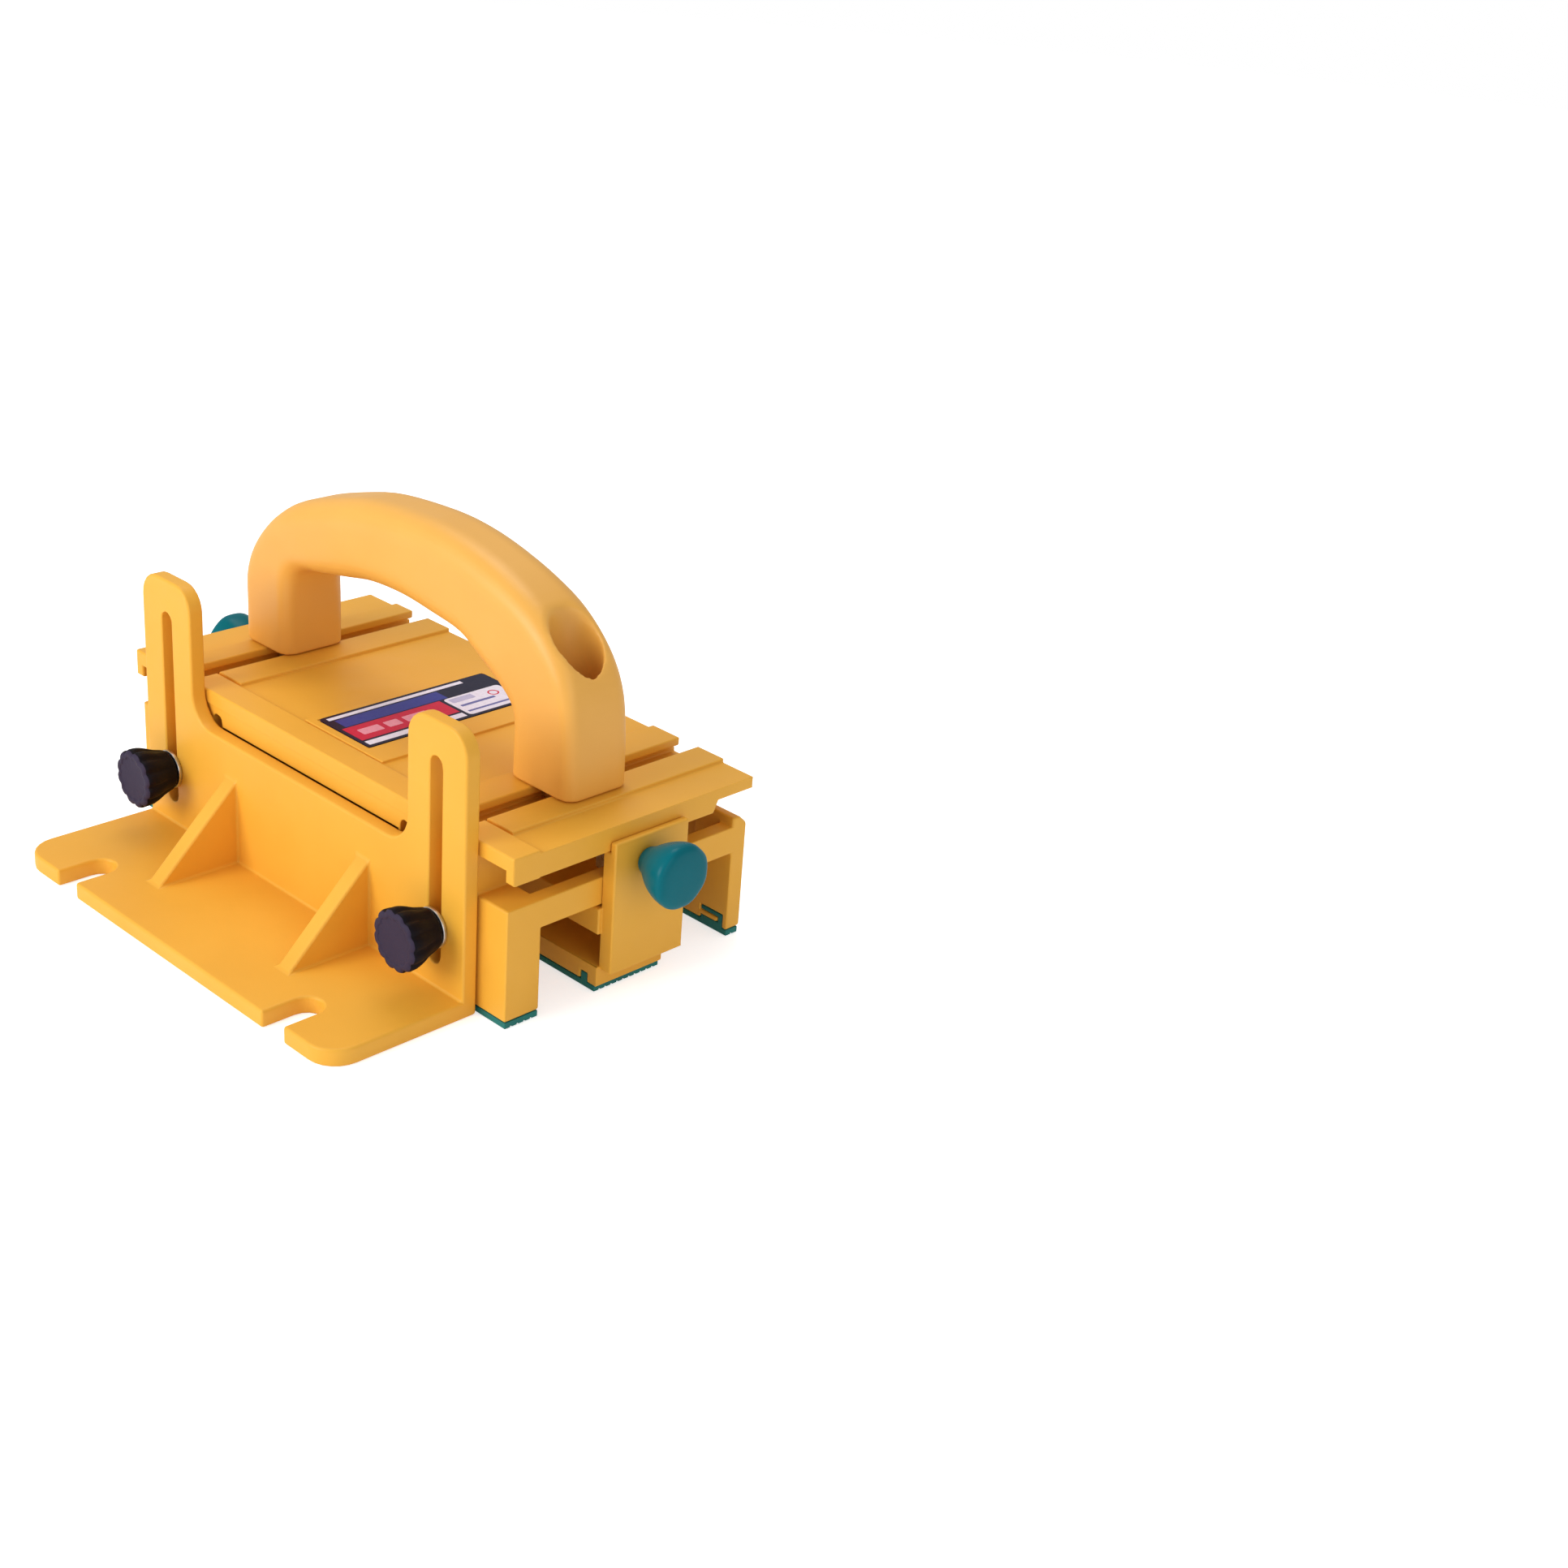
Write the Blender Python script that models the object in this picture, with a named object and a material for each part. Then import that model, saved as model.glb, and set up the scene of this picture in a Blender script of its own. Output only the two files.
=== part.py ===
"""An adjustable push block for feeding wood across a saw or router table.

The block stands on three legs with rubber soles. The centre leg slides across the block, the handle slides
across its top, and an L-shaped balance support slides up and down on the near side. Knobs clamp all three.

Frame: X is the feed direction, Y runs across the block, Z is up. The origin is the middle of the footprint,
on the table. Sizes below are in millimetres, and MM turns them into metres.
"""

import math

import bmesh
import bpy
from mathutils import Matrix, Vector

MM = 0.001
CLEARANCE = 0.3
OVERLAP = 0.6
THROUGH = 4.0
ROUND_SEGMENTS = 32
ROD_SEGMENTS = 16
KNOB_SEGMENTS = 48
CORNER_STEPS = 6
SLOT_END_STEPS = 8
SMOOTH_ANGLE = 35.0

# The block's top plate, its raised bands and its legs.
TOP_HALF_LENGTH = 118.0
LEG_HALF_LENGTH = 114.8
TOP_NEAR_Y = -26.8
TOP_FAR_Y = 89.9
PLATE_LOW_Z = 63.4
PLATE_TOP_Z = 68.0
BAND_TOP_Z = 69.1
RIB_TOP_Z = 69.5
BAND_WIDTH = 12.1
BAND_GROOVE = 0.8
FRONT_RIB_X = (62.5, 102.0)
REAR_RIB_X = (-100.0, -63.4)
PANEL_X = (-21.0, 27.5)
NEAR_LEG_Y = (-26.3, -10.4)
FAR_LEG_Y = (84.0, 91.0)
SOLE_THICKNESS = 2.4
LEG_LOW_Z = SOLE_THICKNESS + CLEARANCE

# The T-slots that the handle slides in.
SLOT_CENTRES_X = (82.6, -83.55)
SLOT_NECK = 10.2
SLOT_CAVITY = 17.0
SLOT_FLOOR_Z = 62.5
SLOT_LIP_Z = 66.0
HOUSING_WIDTH = 26.0
HOUSING_LOW_Z = 58.4

# The end beams and edge rails that guide the centre leg.
BEAM_X = (108.0, 114.8)
BEAM_Z = (35.8, 47.1)
RAIL_X = (113.5, 118.0)
RAIL_LOW_Z = 58.7
RAIL_BLOCK_LOW_Z = 58.4
RAIL_FAR_Y = 69.9
RAIL_SLOPE = 2.5

# Cut-outs in the legs.
WALL_HOLES_X = (57.2, -61.2)
WALL_HOLE_WIDTH = 5.6
WALL_HOLE_Z = (51.0, 60.2)
INNER_POCKET_X = (6.0, 50.0)
INNER_POCKET_Z = (10.0, 56.0)
INNER_POCKET_DEPTH = 11.0
FAR_PANEL_HALF_LENGTH = 94.0
FAR_PANEL_Z = (12.0, 56.0)
FAR_PANEL_DEPTH = 2.5
LEG_CORNER_X = 98.0
FAR_CORNER_Z = 50.8
FAR_CHAMFER_Y = 87.5
FAR_CHAMFER_LOW_Z = 47.6

# The rubber lugs that key each sole to its leg: framed ones on the far leg, plain tabs on the centre leg.
LUG_CENTRES_X = (-106.3, -53.0, 0.0, 53.0, 106.3)
LUG_SIZE = (11.4, 1.5, 5.4)
LUG_BOSS_SIZE = (6.6, 1.8)
LUG_BOSS_Z = 5.2
TAB_CENTRES_X = (-108.8, -36.0, 36.0, 108.8)
TAB_SIZE = (3.2, 1.5, 3.2)

# The label on the raised panel.
LABEL_X = (-17.5, 14.5)
LABEL_Y = (-10.1, 69.9)
LABEL_THICKNESS = 0.4
LABEL_RECESS = 0.5

# The balance support.
SUPPORT_HALF_LENGTH = 100.2
WALL_Y = (-33.5, -27.1)
WALL_TOP_Z = 56.3
POST_INNER_X = 67.4
POST_TOP_Z = 110.6
POST_CORNER = 10.0
WALL_FILLET = 12.0
FLANGE_OUTER_Y = -91.0
FLANGE_THICKNESS = 7.0
FLANGE_CORNER = 12.0
NOTCH_X = 67.5
NOTCH_WIDTH = 12.5
NOTCH_END_Y = -70.6
GUSSET_X = 42.1
GUSSET_WIDTH = 7.5
GUSSET_TIP_Y = -69.1
GUSSET_TOP_Z = 41.8
POST_SLOT_X = 83.6
POST_SLOT_WIDTH = 6.8
POST_SLOT_Z = (16.2, 97.2)

# The black knobs that clamp the support to the near leg.
SUPPORT_KNOB_Z = 30.8
SUPPORT_KNOB_Y = (-51.6, -35.6)
SUPPORT_KNOB_LOBES = 12
SUPPORT_KNOB_FLUTE = 0.06
SUPPORT_KNOB_HOLE = 8.0
WASHER_RADIUS = 7.9
WASHER_BORE = 3.4
SUPPORT_WASHER_Y = (-35.3, -33.8)
STUD_RADIUS = 2.7
STUD_BORE = 3.1
STUD_CHAMFER = 0.6
STUD_OVERHANG = 2.0
NUT_ACROSS_FLATS = 10.0
NUT_THICKNESS = 5.0

# The centre leg.
CENTRE_LEG_Y = (15.9, 48.9)
FOOT_TOP_Z = 10.7
WEB_Z = (24.4, 34.8)
WEB_WALL = 3.2
WEB_POST_WIDTH = 6.0
WEB_POSTS_X = (-57.0, 0.0, 57.0)
END_PLATE_X = (115.1, 121.3)
END_PLATE_UPPER_X = 118.3
END_PLATE_Y = (17.65, 53.6)
END_PLATE_Z = (9.5, 62.5)
END_PLATE_STEP_Z = 58.1
LEG_KNOB_Y = 33.2
LEG_KNOB_Z = 52.2
CLAMP_PLATE_X = (102.6, 107.7)
CLAMP_PLATE_HALF_WIDTH = 8.0
CLAMP_PLATE_Z = (44.0, 60.0)

# The knobs' profiles: radius at each distance from the base.
LEG_KNOB_PROFILE = (
    (0.0, 5.0),
    (3.0, 6.3),
    (6.5, 8.7),
    (10.0, 10.7),
    (14.0, 12.2),
    (17.0, 12.6),
    (19.0, 12.2),
    (19.9, 11.2),
)
LEG_KNOB_LOBES = 8
LEG_KNOB_FLUTE = 0.03
LEG_KNOB_HOLE = 10.0
SUPPORT_KNOB_PROFILE = (
    (0.0, 7.4),
    (1.0, 8.2),
    (5.0, 9.4),
    (8.5, 10.9),
    (11.5, 11.8),
    (14.6, 12.0),
    (15.5, 11.5),
    (16.0, 10.8),
)

# The handle: pairs of points (x, z) on its outer and inner outline, from the rear foot to the front foot.
HANDLE_CENTRE_Y = 29.9
HANDLE_HALF_WIDTH = 15.0
FOOT_ROUNDING = 5.5
GRIP_ROUNDING = 10.0
ROUNDING_BLEND_Z = (94.0, 128.0)
RING_CORNER_STEPS = 6
HANDLE_TOP_Z = 150.8
HANDLE_BASE_Z = 69.8
HANDLE_STATIONS = (
    ((-104.2, 69.8), (-74.6, 69.8)),
    ((-104.3, 86.0), (-74.5, 82.0)),
    ((-103.8, 101.0), (-74.4, 95.0)),
    ((-98.2, 113.8), (-72.6, 103.6)),
    ((-86.6, 126.4), (-67.0, 108.0)),
    ((-72.0, 135.4), (-56.0, 109.8)),
    ((-49.0, 143.2), (-42.0, 112.4)),
    ((-27.0, 148.4), (-25.0, 115.7)),
    ((3.0, 150.7), (-5.0, 116.5)),
    ((23.0, 149.9), (14.0, 114.7)),
    ((41.5, 146.7), (31.0, 112.2)),
    ((58.5, 141.6), (43.5, 105.9)),
    ((74.5, 134.2), (54.5, 100.2)),
    ((87.6, 122.6), (62.0, 94.6)),
    ((94.9, 109.3), (64.3, 87.5)),
    ((97.8, 91.0), (64.2, 79.0)),
    ((98.4, 69.8), (64.0, 69.8)),
)
STATION_STEPS = 4
HANDLE_BOLTS_X = (82.6, -83.55)
HANDLE_BOLT_NAMES = ("front", "rear")
COUNTERBORE_RADII = (9.8, 8.0)
COUNTERBORE_FLOOR_Z = 84.0
BOLT_HEAD_SIZE = (15.0, 15.0, 2.9)
HANDLE_WASHER = (7.2, 1.6)
HANDLE_NUT_THICKNESS = 5.0
BOLT_TOP_Z = 94.5

YELLOW = (0.80, 0.40, 0.055, 1.0)
GREEN = (0.0, 0.19, 0.17, 1.0)
BLACK = (0.02, 0.018, 0.025, 1.0)
STEEL = (0.55, 0.55, 0.56, 1.0)
NAVY = (0.02, 0.03, 0.12, 1.0)


def clear_scene():
    for old in list(bpy.data.objects):
        bpy.data.objects.remove(old)


def material(name, colour, roughness, metallic=0.0):
    made = bpy.data.materials.new(name)
    made.use_nodes = True
    shader = made.node_tree.nodes["Principled BSDF"]
    shader.inputs["Base Color"].default_value = colour
    shader.inputs["Roughness"].default_value = roughness
    shader.inputs["Metallic"].default_value = metallic
    return made


def box(mesh, x, y, z):
    """Adds a box between the given ends on each axis."""
    size = Vector((x[1] - x[0], y[1] - y[0], z[1] - z[0]))
    centre = Vector((x[0] + x[1], y[0] + y[1], z[0] + z[1])) / 2
    bmesh.ops.create_cube(mesh, size=1.0, matrix=Matrix.Translation(centre) @ Matrix.Diagonal((*size, 1.0)))


def either_side(low, high):
    """The span low to high, and its mirror image through zero."""
    return ((low, high), (-high, -low))


def place(axis, along, across, up):
    """A point from its distance along the axis and its two other coordinates, in the order X, Y, Z."""
    if axis == "X":
        return Vector((along, across, up))
    if axis == "Y":
        return Vector((across, along, up))
    return Vector((across, up, along))


def prism(mesh, outline, axis, low, high):
    """Extrudes a closed outline of points along an axis."""
    bottom = [mesh.verts.new(place(axis, low, a, b)) for a, b in outline]
    top = [mesh.verts.new(place(axis, high, a, b)) for a, b in outline]
    faces = [mesh.faces.new(bottom), mesh.faces.new(list(reversed(top)))]
    for i in range(len(outline)):
        j = (i + 1) % len(outline)
        faces.append(mesh.faces.new((bottom[j], bottom[i], top[i], top[j])))
    bmesh.ops.recalc_face_normals(mesh, faces=faces)


def arc(centre, radius, start, end, steps):
    """Points on an arc, with the angles in degrees."""
    points = []
    for i in range(steps + 1):
        angle = math.radians(start + (end - start) * i / steps)
        points.append((centre[0] + radius * math.cos(angle), centre[1] + radius * math.sin(angle)))
    return points


def circle(centre, radius, segments=ROUND_SEGMENTS):
    return arc(centre, radius, 0.0, 360.0 * (segments - 1) / segments, segments - 1)


def upright_slot(x, z, radius):
    """An upright slot with round ends, in X and Z."""
    points = arc((x, z[1] - radius), radius, 0.0, 180.0, SLOT_END_STEPS)
    return points + arc((x, z[0] + radius), radius, 180.0, 360.0, SLOT_END_STEPS)


def hexagon(centre, across_flats):
    return circle(centre, across_flats / math.sqrt(3.0), 6)


def loft(mesh, rings):
    """Skins a row of closed rings and caps both ends."""
    rows = [[mesh.verts.new(point) for point in ring] for ring in rings]
    faces = [mesh.faces.new(rows[0]), mesh.faces.new(list(reversed(rows[-1])))]
    count = len(rows[0])
    for lower, upper in zip(rows, rows[1:]):
        for i in range(count):
            j = (i + 1) % count
            faces.append(mesh.faces.new((lower[j], lower[i], upper[i], upper[j])))
    bmesh.ops.recalc_face_normals(mesh, faces=faces)


def tube(mesh, axis, centre, outer, bore, low, high, outline=circle):
    """A washer or nut: an outline with a round hole, as one ring of quads."""
    count = ROUND_SEGMENTS
    if outline is circle:
        outside = circle(centre, outer, count)
    else:
        outside = spread(outline(centre, outer), count)
    inside = circle(centre, bore, count)
    levels = []
    for points, along in ((inside, low), (outside, low), (outside, high), (inside, high)):
        levels.append([mesh.verts.new(place(axis, along, a, b)) for a, b in points])
    faces = []
    for first, second in zip(levels, levels[1:] + levels[:1]):
        for i in range(count):
            j = (i + 1) % count
            faces.append(mesh.faces.new((first[i], first[j], second[j], second[i])))
    bmesh.ops.recalc_face_normals(mesh, faces=faces)


def spread(corners, count):
    """Points spread evenly over a polygon's sides, count in all, starting at its first corner."""
    points = []
    for i in range(count):
        position = i * len(corners) / count
        side = int(position)
        share = position - side
        start = corners[side]
        end = corners[(side + 1) % len(corners)]
        points.append((start[0] + (end[0] - start[0]) * share, start[1] + (end[1] - start[1]) * share))
    return points


def lobed_ring(axis, centre, along, radius, lobes, depth):
    """A ring of a knob: a circle with shallow flutes between its lobes."""
    count = KNOB_SEGMENTS
    points = []
    for i in range(count):
        angle = 2.0 * math.pi * i / count
        reach = radius * (1.0 - depth * (0.5 - 0.5 * math.cos(lobes * angle)))
        across = centre[0] + reach * math.cos(angle)
        up = centre[1] + reach * math.sin(angle)
        points.append(place(axis, along, across, up))
    return points


def attach(child, parent):
    """Parents the child and keeps it where it is, below a chain of unrotated parents."""
    child.parent = parent
    while parent is not None:
        child.location -= parent.location
        parent = parent.parent


def to_object(name, mesh, look, origin=(0.0, 0.0, 0.0), parent=None, smooth=False):
    """Turns a mesh in millimetres into an object in metres, with its own origin."""
    bmesh.ops.translate(mesh, verts=mesh.verts, vec=-Vector(origin))
    bmesh.ops.scale(mesh, verts=mesh.verts, vec=(MM, MM, MM))
    data = bpy.data.meshes.new(name)
    mesh.to_mesh(data)
    mesh.free()
    made = bpy.data.objects.new(name, data)
    bpy.context.scene.collection.objects.link(made)
    made.location = Vector(origin) * MM
    if look is not None:
        data.materials.append(look)
    attach(made, parent)
    if smooth:
        data.shade_smooth()
        data.set_sharp_from_angle(angle=math.radians(SMOOTH_ANGLE))
    return made


def helper(name, target, mesh, operation):
    """Joins or cuts the target with a hidden solid."""
    tool = to_object(name, mesh, None)
    tool.hide_render = True
    tool.display_type = "WIRE"
    attach(tool, target.parent)
    modifier = target.modifiers.new(name, "BOOLEAN")
    modifier.operation = operation
    modifier.solver = "EXACT"
    modifier.object = tool


def add(target, name, mesh):
    helper(f"{target.name}_{name}", target, mesh, "UNION")


def cut(target, name, mesh):
    helper(f"{target.name}_{name}", target, mesh, "DIFFERENCE")


def empty(name, location, parent=None):
    """A moving body's own frame, on its joint's axis."""
    made = bpy.data.objects.new(name, None)
    bpy.context.scene.collection.objects.link(made)
    made.location = Vector(location) * MM
    attach(made, parent)
    return made


def framed_lug(x, low, grow):
    """The outline of a lug that hooks round a boss, in X and Z, or of its recess where grow is the clearance."""
    half = LUG_SIZE[0] / 2 + grow
    high = LEG_LOW_Z + LUG_SIZE[2] + grow
    hole = LUG_BOSS_SIZE[0] / 2 + CLEARANCE - grow
    hole_half = LUG_BOSS_SIZE[1] / 2 + CLEARANCE - grow
    return (
        (x - half, low),
        (x + half, low),
        (x + half, high),
        (x - half, high),
        (x - half, LUG_BOSS_Z + hole_half),
        (x + hole, LUG_BOSS_Z + hole_half),
        (x + hole, LUG_BOSS_Z - hole_half),
        (x - half, LUG_BOSS_Z - hole_half),
    )


def tab_lug(x, low, grow):
    """The outline of a plain lug, or of its recess where grow is the clearance."""
    half = TAB_SIZE[0] / 2 + grow
    high = LEG_LOW_Z + TAB_SIZE[2] + grow
    return ((x - half, low), (x + half, low), (x + half, high), (x - half, high))


def lug_solids(outline, centres_x, face_y):
    """A row of rubber lugs set into a leg's near face."""
    mesh = bmesh.new()
    for x in centres_x:
        prism(mesh, outline(x, SOLE_THICKNESS - OVERLAP, 0.0), "Y", face_y + CLEARANCE, face_y + LUG_SIZE[1])
    return mesh


def lug_recesses(outline, centres_x, face_y):
    """The recesses that a row of lugs sits in."""
    mesh = bmesh.new()
    inner = face_y + LUG_SIZE[1] + CLEARANCE
    for x in centres_x:
        prism(mesh, outline(x, LEG_LOW_Z - OVERLAP, CLEARANCE), "Y", face_y - OVERLAP, inner)
    return mesh


def sole(name, y, look, lugs=None, parent=None):
    """A rubber sole, with or without lugs that reach up into its leg's face."""
    mesh = bmesh.new()
    half = LEG_HALF_LENGTH - CLEARANCE
    box(mesh, (-half, half), (y[0] + CLEARANCE, y[1] - CLEARANCE), (0.0, SOLE_THICKNESS))
    made = to_object(name, mesh, look, parent=parent)
    if lugs is not None:
        add(made, "lugs", lugs)
    return made


def leg_corners():
    """The upper corners cut away at both ends of the near and far legs, which leave a gap under the top plate."""
    mesh = bmesh.new()
    near = (NEAR_LEG_Y[0] - THROUGH, NEAR_LEG_Y[1] + THROUGH)
    outside = FAR_LEG_Y[1] + THROUGH
    fall = (FAR_CORNER_Z - FAR_CHAMFER_LOW_Z) / (FAR_LEG_Y[1] - FAR_CHAMFER_Y)
    far_outline = (
        (FAR_LEG_Y[0] - THROUGH, FAR_CORNER_Z),
        (FAR_CHAMFER_Y, FAR_CORNER_Z),
        (outside, FAR_CHAMFER_LOW_Z - fall * THROUGH),
        (outside, PLATE_LOW_Z),
        (FAR_LEG_Y[0] - THROUGH, PLATE_LOW_Z),
    )
    for x in either_side(LEG_CORNER_X, LEG_HALF_LENGTH + THROUGH):
        box(mesh, x, near, (BEAM_Z[1], PLATE_LOW_Z))
        prism(mesh, far_outline, "X", x[0], x[1])
    return mesh


def body_shell(look):
    """The block: top plate, ribs, slot housings, near leg, far leg, end beams and rails."""
    plate = bmesh.new()
    half = TOP_HALF_LENGTH
    box(plate, (-half, half), (TOP_NEAR_Y, TOP_FAR_Y), (PLATE_LOW_Z, PLATE_TOP_Z))
    body = to_object("body_shell", plate, look)
    band_end = TOP_NEAR_Y + BAND_WIDTH
    raised_low = PLATE_TOP_Z - OVERLAP

    band = bmesh.new()
    box(band, (-half, half), (TOP_NEAR_Y, band_end), (raised_low, BAND_TOP_Z))
    add(body, "band", band)

    ribs = bmesh.new()
    rib_y = (band_end + BAND_GROOVE, TOP_FAR_Y)
    box(ribs, FRONT_RIB_X, rib_y, (raised_low, RIB_TOP_Z))
    box(ribs, REAR_RIB_X, rib_y, (raised_low, RIB_TOP_Z))
    box(ribs, PANEL_X, rib_y, (raised_low, BAND_TOP_Z))
    add(body, "ribs", ribs)

    legs = bmesh.new()
    leg_x = (-LEG_HALF_LENGTH, LEG_HALF_LENGTH)
    leg_z = (LEG_LOW_Z, PLATE_LOW_Z + OVERLAP)
    box(legs, leg_x, NEAR_LEG_Y, leg_z)
    box(legs, leg_x, FAR_LEG_Y, leg_z)
    add(body, "legs", legs)
    cut(body, "leg_corners", leg_corners())

    beams = bmesh.new()
    for x in either_side(*BEAM_X):
        box(beams, x, (NEAR_LEG_Y[1] - OVERLAP, FAR_LEG_Y[0] + OVERLAP), BEAM_Z)
    add(body, "beams", beams)

    rails = bmesh.new()
    rail_outline = (
        (TOP_NEAR_Y, RAIL_BLOCK_LOW_Z),
        (band_end, RAIL_BLOCK_LOW_Z),
        (band_end, RAIL_LOW_Z),
        (RAIL_FAR_Y, RAIL_LOW_Z),
        (RAIL_FAR_Y + RAIL_SLOPE, PLATE_LOW_Z + OVERLAP),
        (TOP_NEAR_Y, PLATE_LOW_Z + OVERLAP),
    )
    for x in either_side(*RAIL_X):
        prism(rails, rail_outline, "X", x[0], x[1])
    add(body, "rails", rails)

    housings = bmesh.new()
    for centre in SLOT_CENTRES_X:
        x = (centre - HOUSING_WIDTH / 2, centre + HOUSING_WIDTH / 2)
        box(housings, x, (TOP_NEAR_Y, TOP_FAR_Y), (HOUSING_LOW_Z, PLATE_LOW_Z + OVERLAP))
    add(body, "housings", housings)

    slots = bmesh.new()
    slot_y = (TOP_NEAR_Y - THROUGH, FAR_LEG_Y[1] + THROUGH)
    for centre in SLOT_CENTRES_X:
        neck = SLOT_NECK / 2
        cavity = SLOT_CAVITY / 2
        outline = (
            (centre - cavity, SLOT_FLOOR_Z),
            (centre + cavity, SLOT_FLOOR_Z),
            (centre + cavity, SLOT_LIP_Z),
            (centre + neck, SLOT_LIP_Z),
            (centre + neck, RIB_TOP_Z + OVERLAP),
            (centre - neck, RIB_TOP_Z + OVERLAP),
            (centre - neck, SLOT_LIP_Z),
            (centre - cavity, SLOT_LIP_Z),
        )
        prism(slots, outline, "Y", slot_y[0], slot_y[1])
    cut(body, "slots", slots)

    pockets = bmesh.new()
    for x in WALL_HOLES_X:
        hole = upright_slot(x, WALL_HOLE_Z, WALL_HOLE_WIDTH / 2)
        prism(pockets, hole, "Y", TOP_NEAR_Y - THROUGH, NEAR_LEG_Y[1] + THROUGH)
    for x in either_side(*INNER_POCKET_X):
        box(pockets, x, (NEAR_LEG_Y[1] - INNER_POCKET_DEPTH, NEAR_LEG_Y[1] + THROUGH), INNER_POCKET_Z)
    panel = FAR_PANEL_HALF_LENGTH
    box(pockets, (-panel, panel), (FAR_LEG_Y[0] - THROUGH, FAR_LEG_Y[0] + FAR_PANEL_DEPTH), FAR_PANEL_Z)
    cut(body, "pockets", pockets)

    label_bed = bmesh.new()
    box(
        label_bed,
        (LABEL_X[0] - CLEARANCE, LABEL_X[1] + CLEARANCE),
        (LABEL_Y[0] - CLEARANCE, LABEL_Y[1] + CLEARANCE),
        (BAND_TOP_Z - LABEL_RECESS, BAND_TOP_Z + THROUGH),
    )
    cut(body, "label_bed", label_bed)

    holes = bmesh.new()
    for side in (1.0, -1.0):
        centre = (side * POST_SLOT_X, SUPPORT_KNOB_Z)
        prism(holes, circle(centre, STUD_BORE), "Y", TOP_NEAR_Y - THROUGH, NEAR_LEG_Y[1] - NUT_THICKNESS)
    cut(body, "stud_holes", holes)
    nut_beds = bmesh.new()
    for side in (1.0, -1.0):
        centre = (side * POST_SLOT_X, SUPPORT_KNOB_Z)
        bed = hexagon(centre, NUT_ACROSS_FLATS + 2 * CLEARANCE)
        bed_low = NEAR_LEG_Y[1] - NUT_THICKNESS - 3 * CLEARANCE
        prism(nut_beds, bed, "Y", bed_low, NEAR_LEG_Y[1] + THROUGH)
    cut(body, "nut_beds", nut_beds)

    cut(body, "lug_recesses", lug_recesses(framed_lug, LUG_CENTRES_X, FAR_LEG_Y[0]))
    return body


def label_sticker(look):
    mesh = bmesh.new()
    low = BAND_TOP_Z - LABEL_RECESS + CLEARANCE
    box(mesh, LABEL_X, LABEL_Y, (low, low + LABEL_THICKNESS))
    return to_object("label_sticker", mesh, look)


def wall_outline():
    """The support's wall and its two posts, seen from the side, in X and Z."""
    side = SUPPORT_HALF_LENGTH
    inner = POST_INNER_X
    fillet = WALL_FILLET
    corner = POST_CORNER
    low = FLANGE_THICKNESS - OVERLAP
    points = [(-side, low), (side, low)]
    points += arc((side - corner, POST_TOP_Z - corner), corner, 0.0, 90.0, CORNER_STEPS)
    points += arc((inner + corner, POST_TOP_Z - corner), corner, 90.0, 180.0, CORNER_STEPS)
    points += arc((inner - fillet, WALL_TOP_Z + fillet), fillet, 0.0, -90.0, CORNER_STEPS)
    points += arc((-inner + fillet, WALL_TOP_Z + fillet), fillet, -90.0, -180.0, CORNER_STEPS)
    points += arc((-inner - corner, POST_TOP_Z - corner), corner, 0.0, 90.0, CORNER_STEPS)
    points += arc((-side + corner, POST_TOP_Z - corner), corner, 90.0, 180.0, CORNER_STEPS)
    return points


def flange_outline():
    """The support's flange with its two open notches, seen from above, in X and Y."""
    side = SUPPORT_HALF_LENGTH
    corner = FLANGE_CORNER
    outer = FLANGE_OUTER_Y
    half = NOTCH_WIDTH / 2
    points = [(side, WALL_Y[1]), (-side, WALL_Y[1])]
    points += arc((-side + corner, outer + corner), corner, 180.0, 270.0, CORNER_STEPS)
    for x in (-NOTCH_X, NOTCH_X):
        points.append((x - half, outer))
        points += arc((x, NOTCH_END_Y - half), half, 180.0, 0.0, SLOT_END_STEPS)
        points.append((x + half, outer))
    points += arc((side - corner, outer + corner), corner, 270.0, 360.0, CORNER_STEPS)
    return points


def balance_support(look, parent):
    flange = bmesh.new()
    prism(flange, flange_outline(), "Z", 0.0, FLANGE_THICKNESS)
    support = to_object("balance_support", flange, look, parent=parent)
    wall = bmesh.new()
    prism(wall, wall_outline(), "Y", WALL_Y[0], WALL_Y[1])
    add(support, "wall", wall)
    gussets = bmesh.new()
    outline = (
        (WALL_Y[0] + OVERLAP, FLANGE_THICKNESS - OVERLAP),
        (WALL_Y[0] + OVERLAP, GUSSET_TOP_Z),
        (WALL_Y[0], GUSSET_TOP_Z),
        (GUSSET_TIP_Y, FLANGE_THICKNESS),
        (GUSSET_TIP_Y, FLANGE_THICKNESS - OVERLAP),
    )
    for side in (1.0, -1.0):
        x = side * GUSSET_X
        prism(gussets, outline, "X", x - GUSSET_WIDTH / 2, x + GUSSET_WIDTH / 2)
    add(support, "gussets", gussets)
    slots = bmesh.new()
    for side in (1.0, -1.0):
        slot = upright_slot(side * POST_SLOT_X, POST_SLOT_Z, POST_SLOT_WIDTH / 2)
        prism(slots, slot, "Y", WALL_Y[0] - THROUGH, WALL_Y[1] + THROUGH)
    cut(support, "post_slots", slots)
    return support


def hex_nut(name, axis, centre, low, look, parent=None):
    mesh = bmesh.new()
    tube(mesh, axis, centre, NUT_ACROSS_FLATS, STUD_BORE, low, low + NUT_THICKNESS, outline=hexagon)
    return to_object(name, mesh, look, parent=parent)


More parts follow.
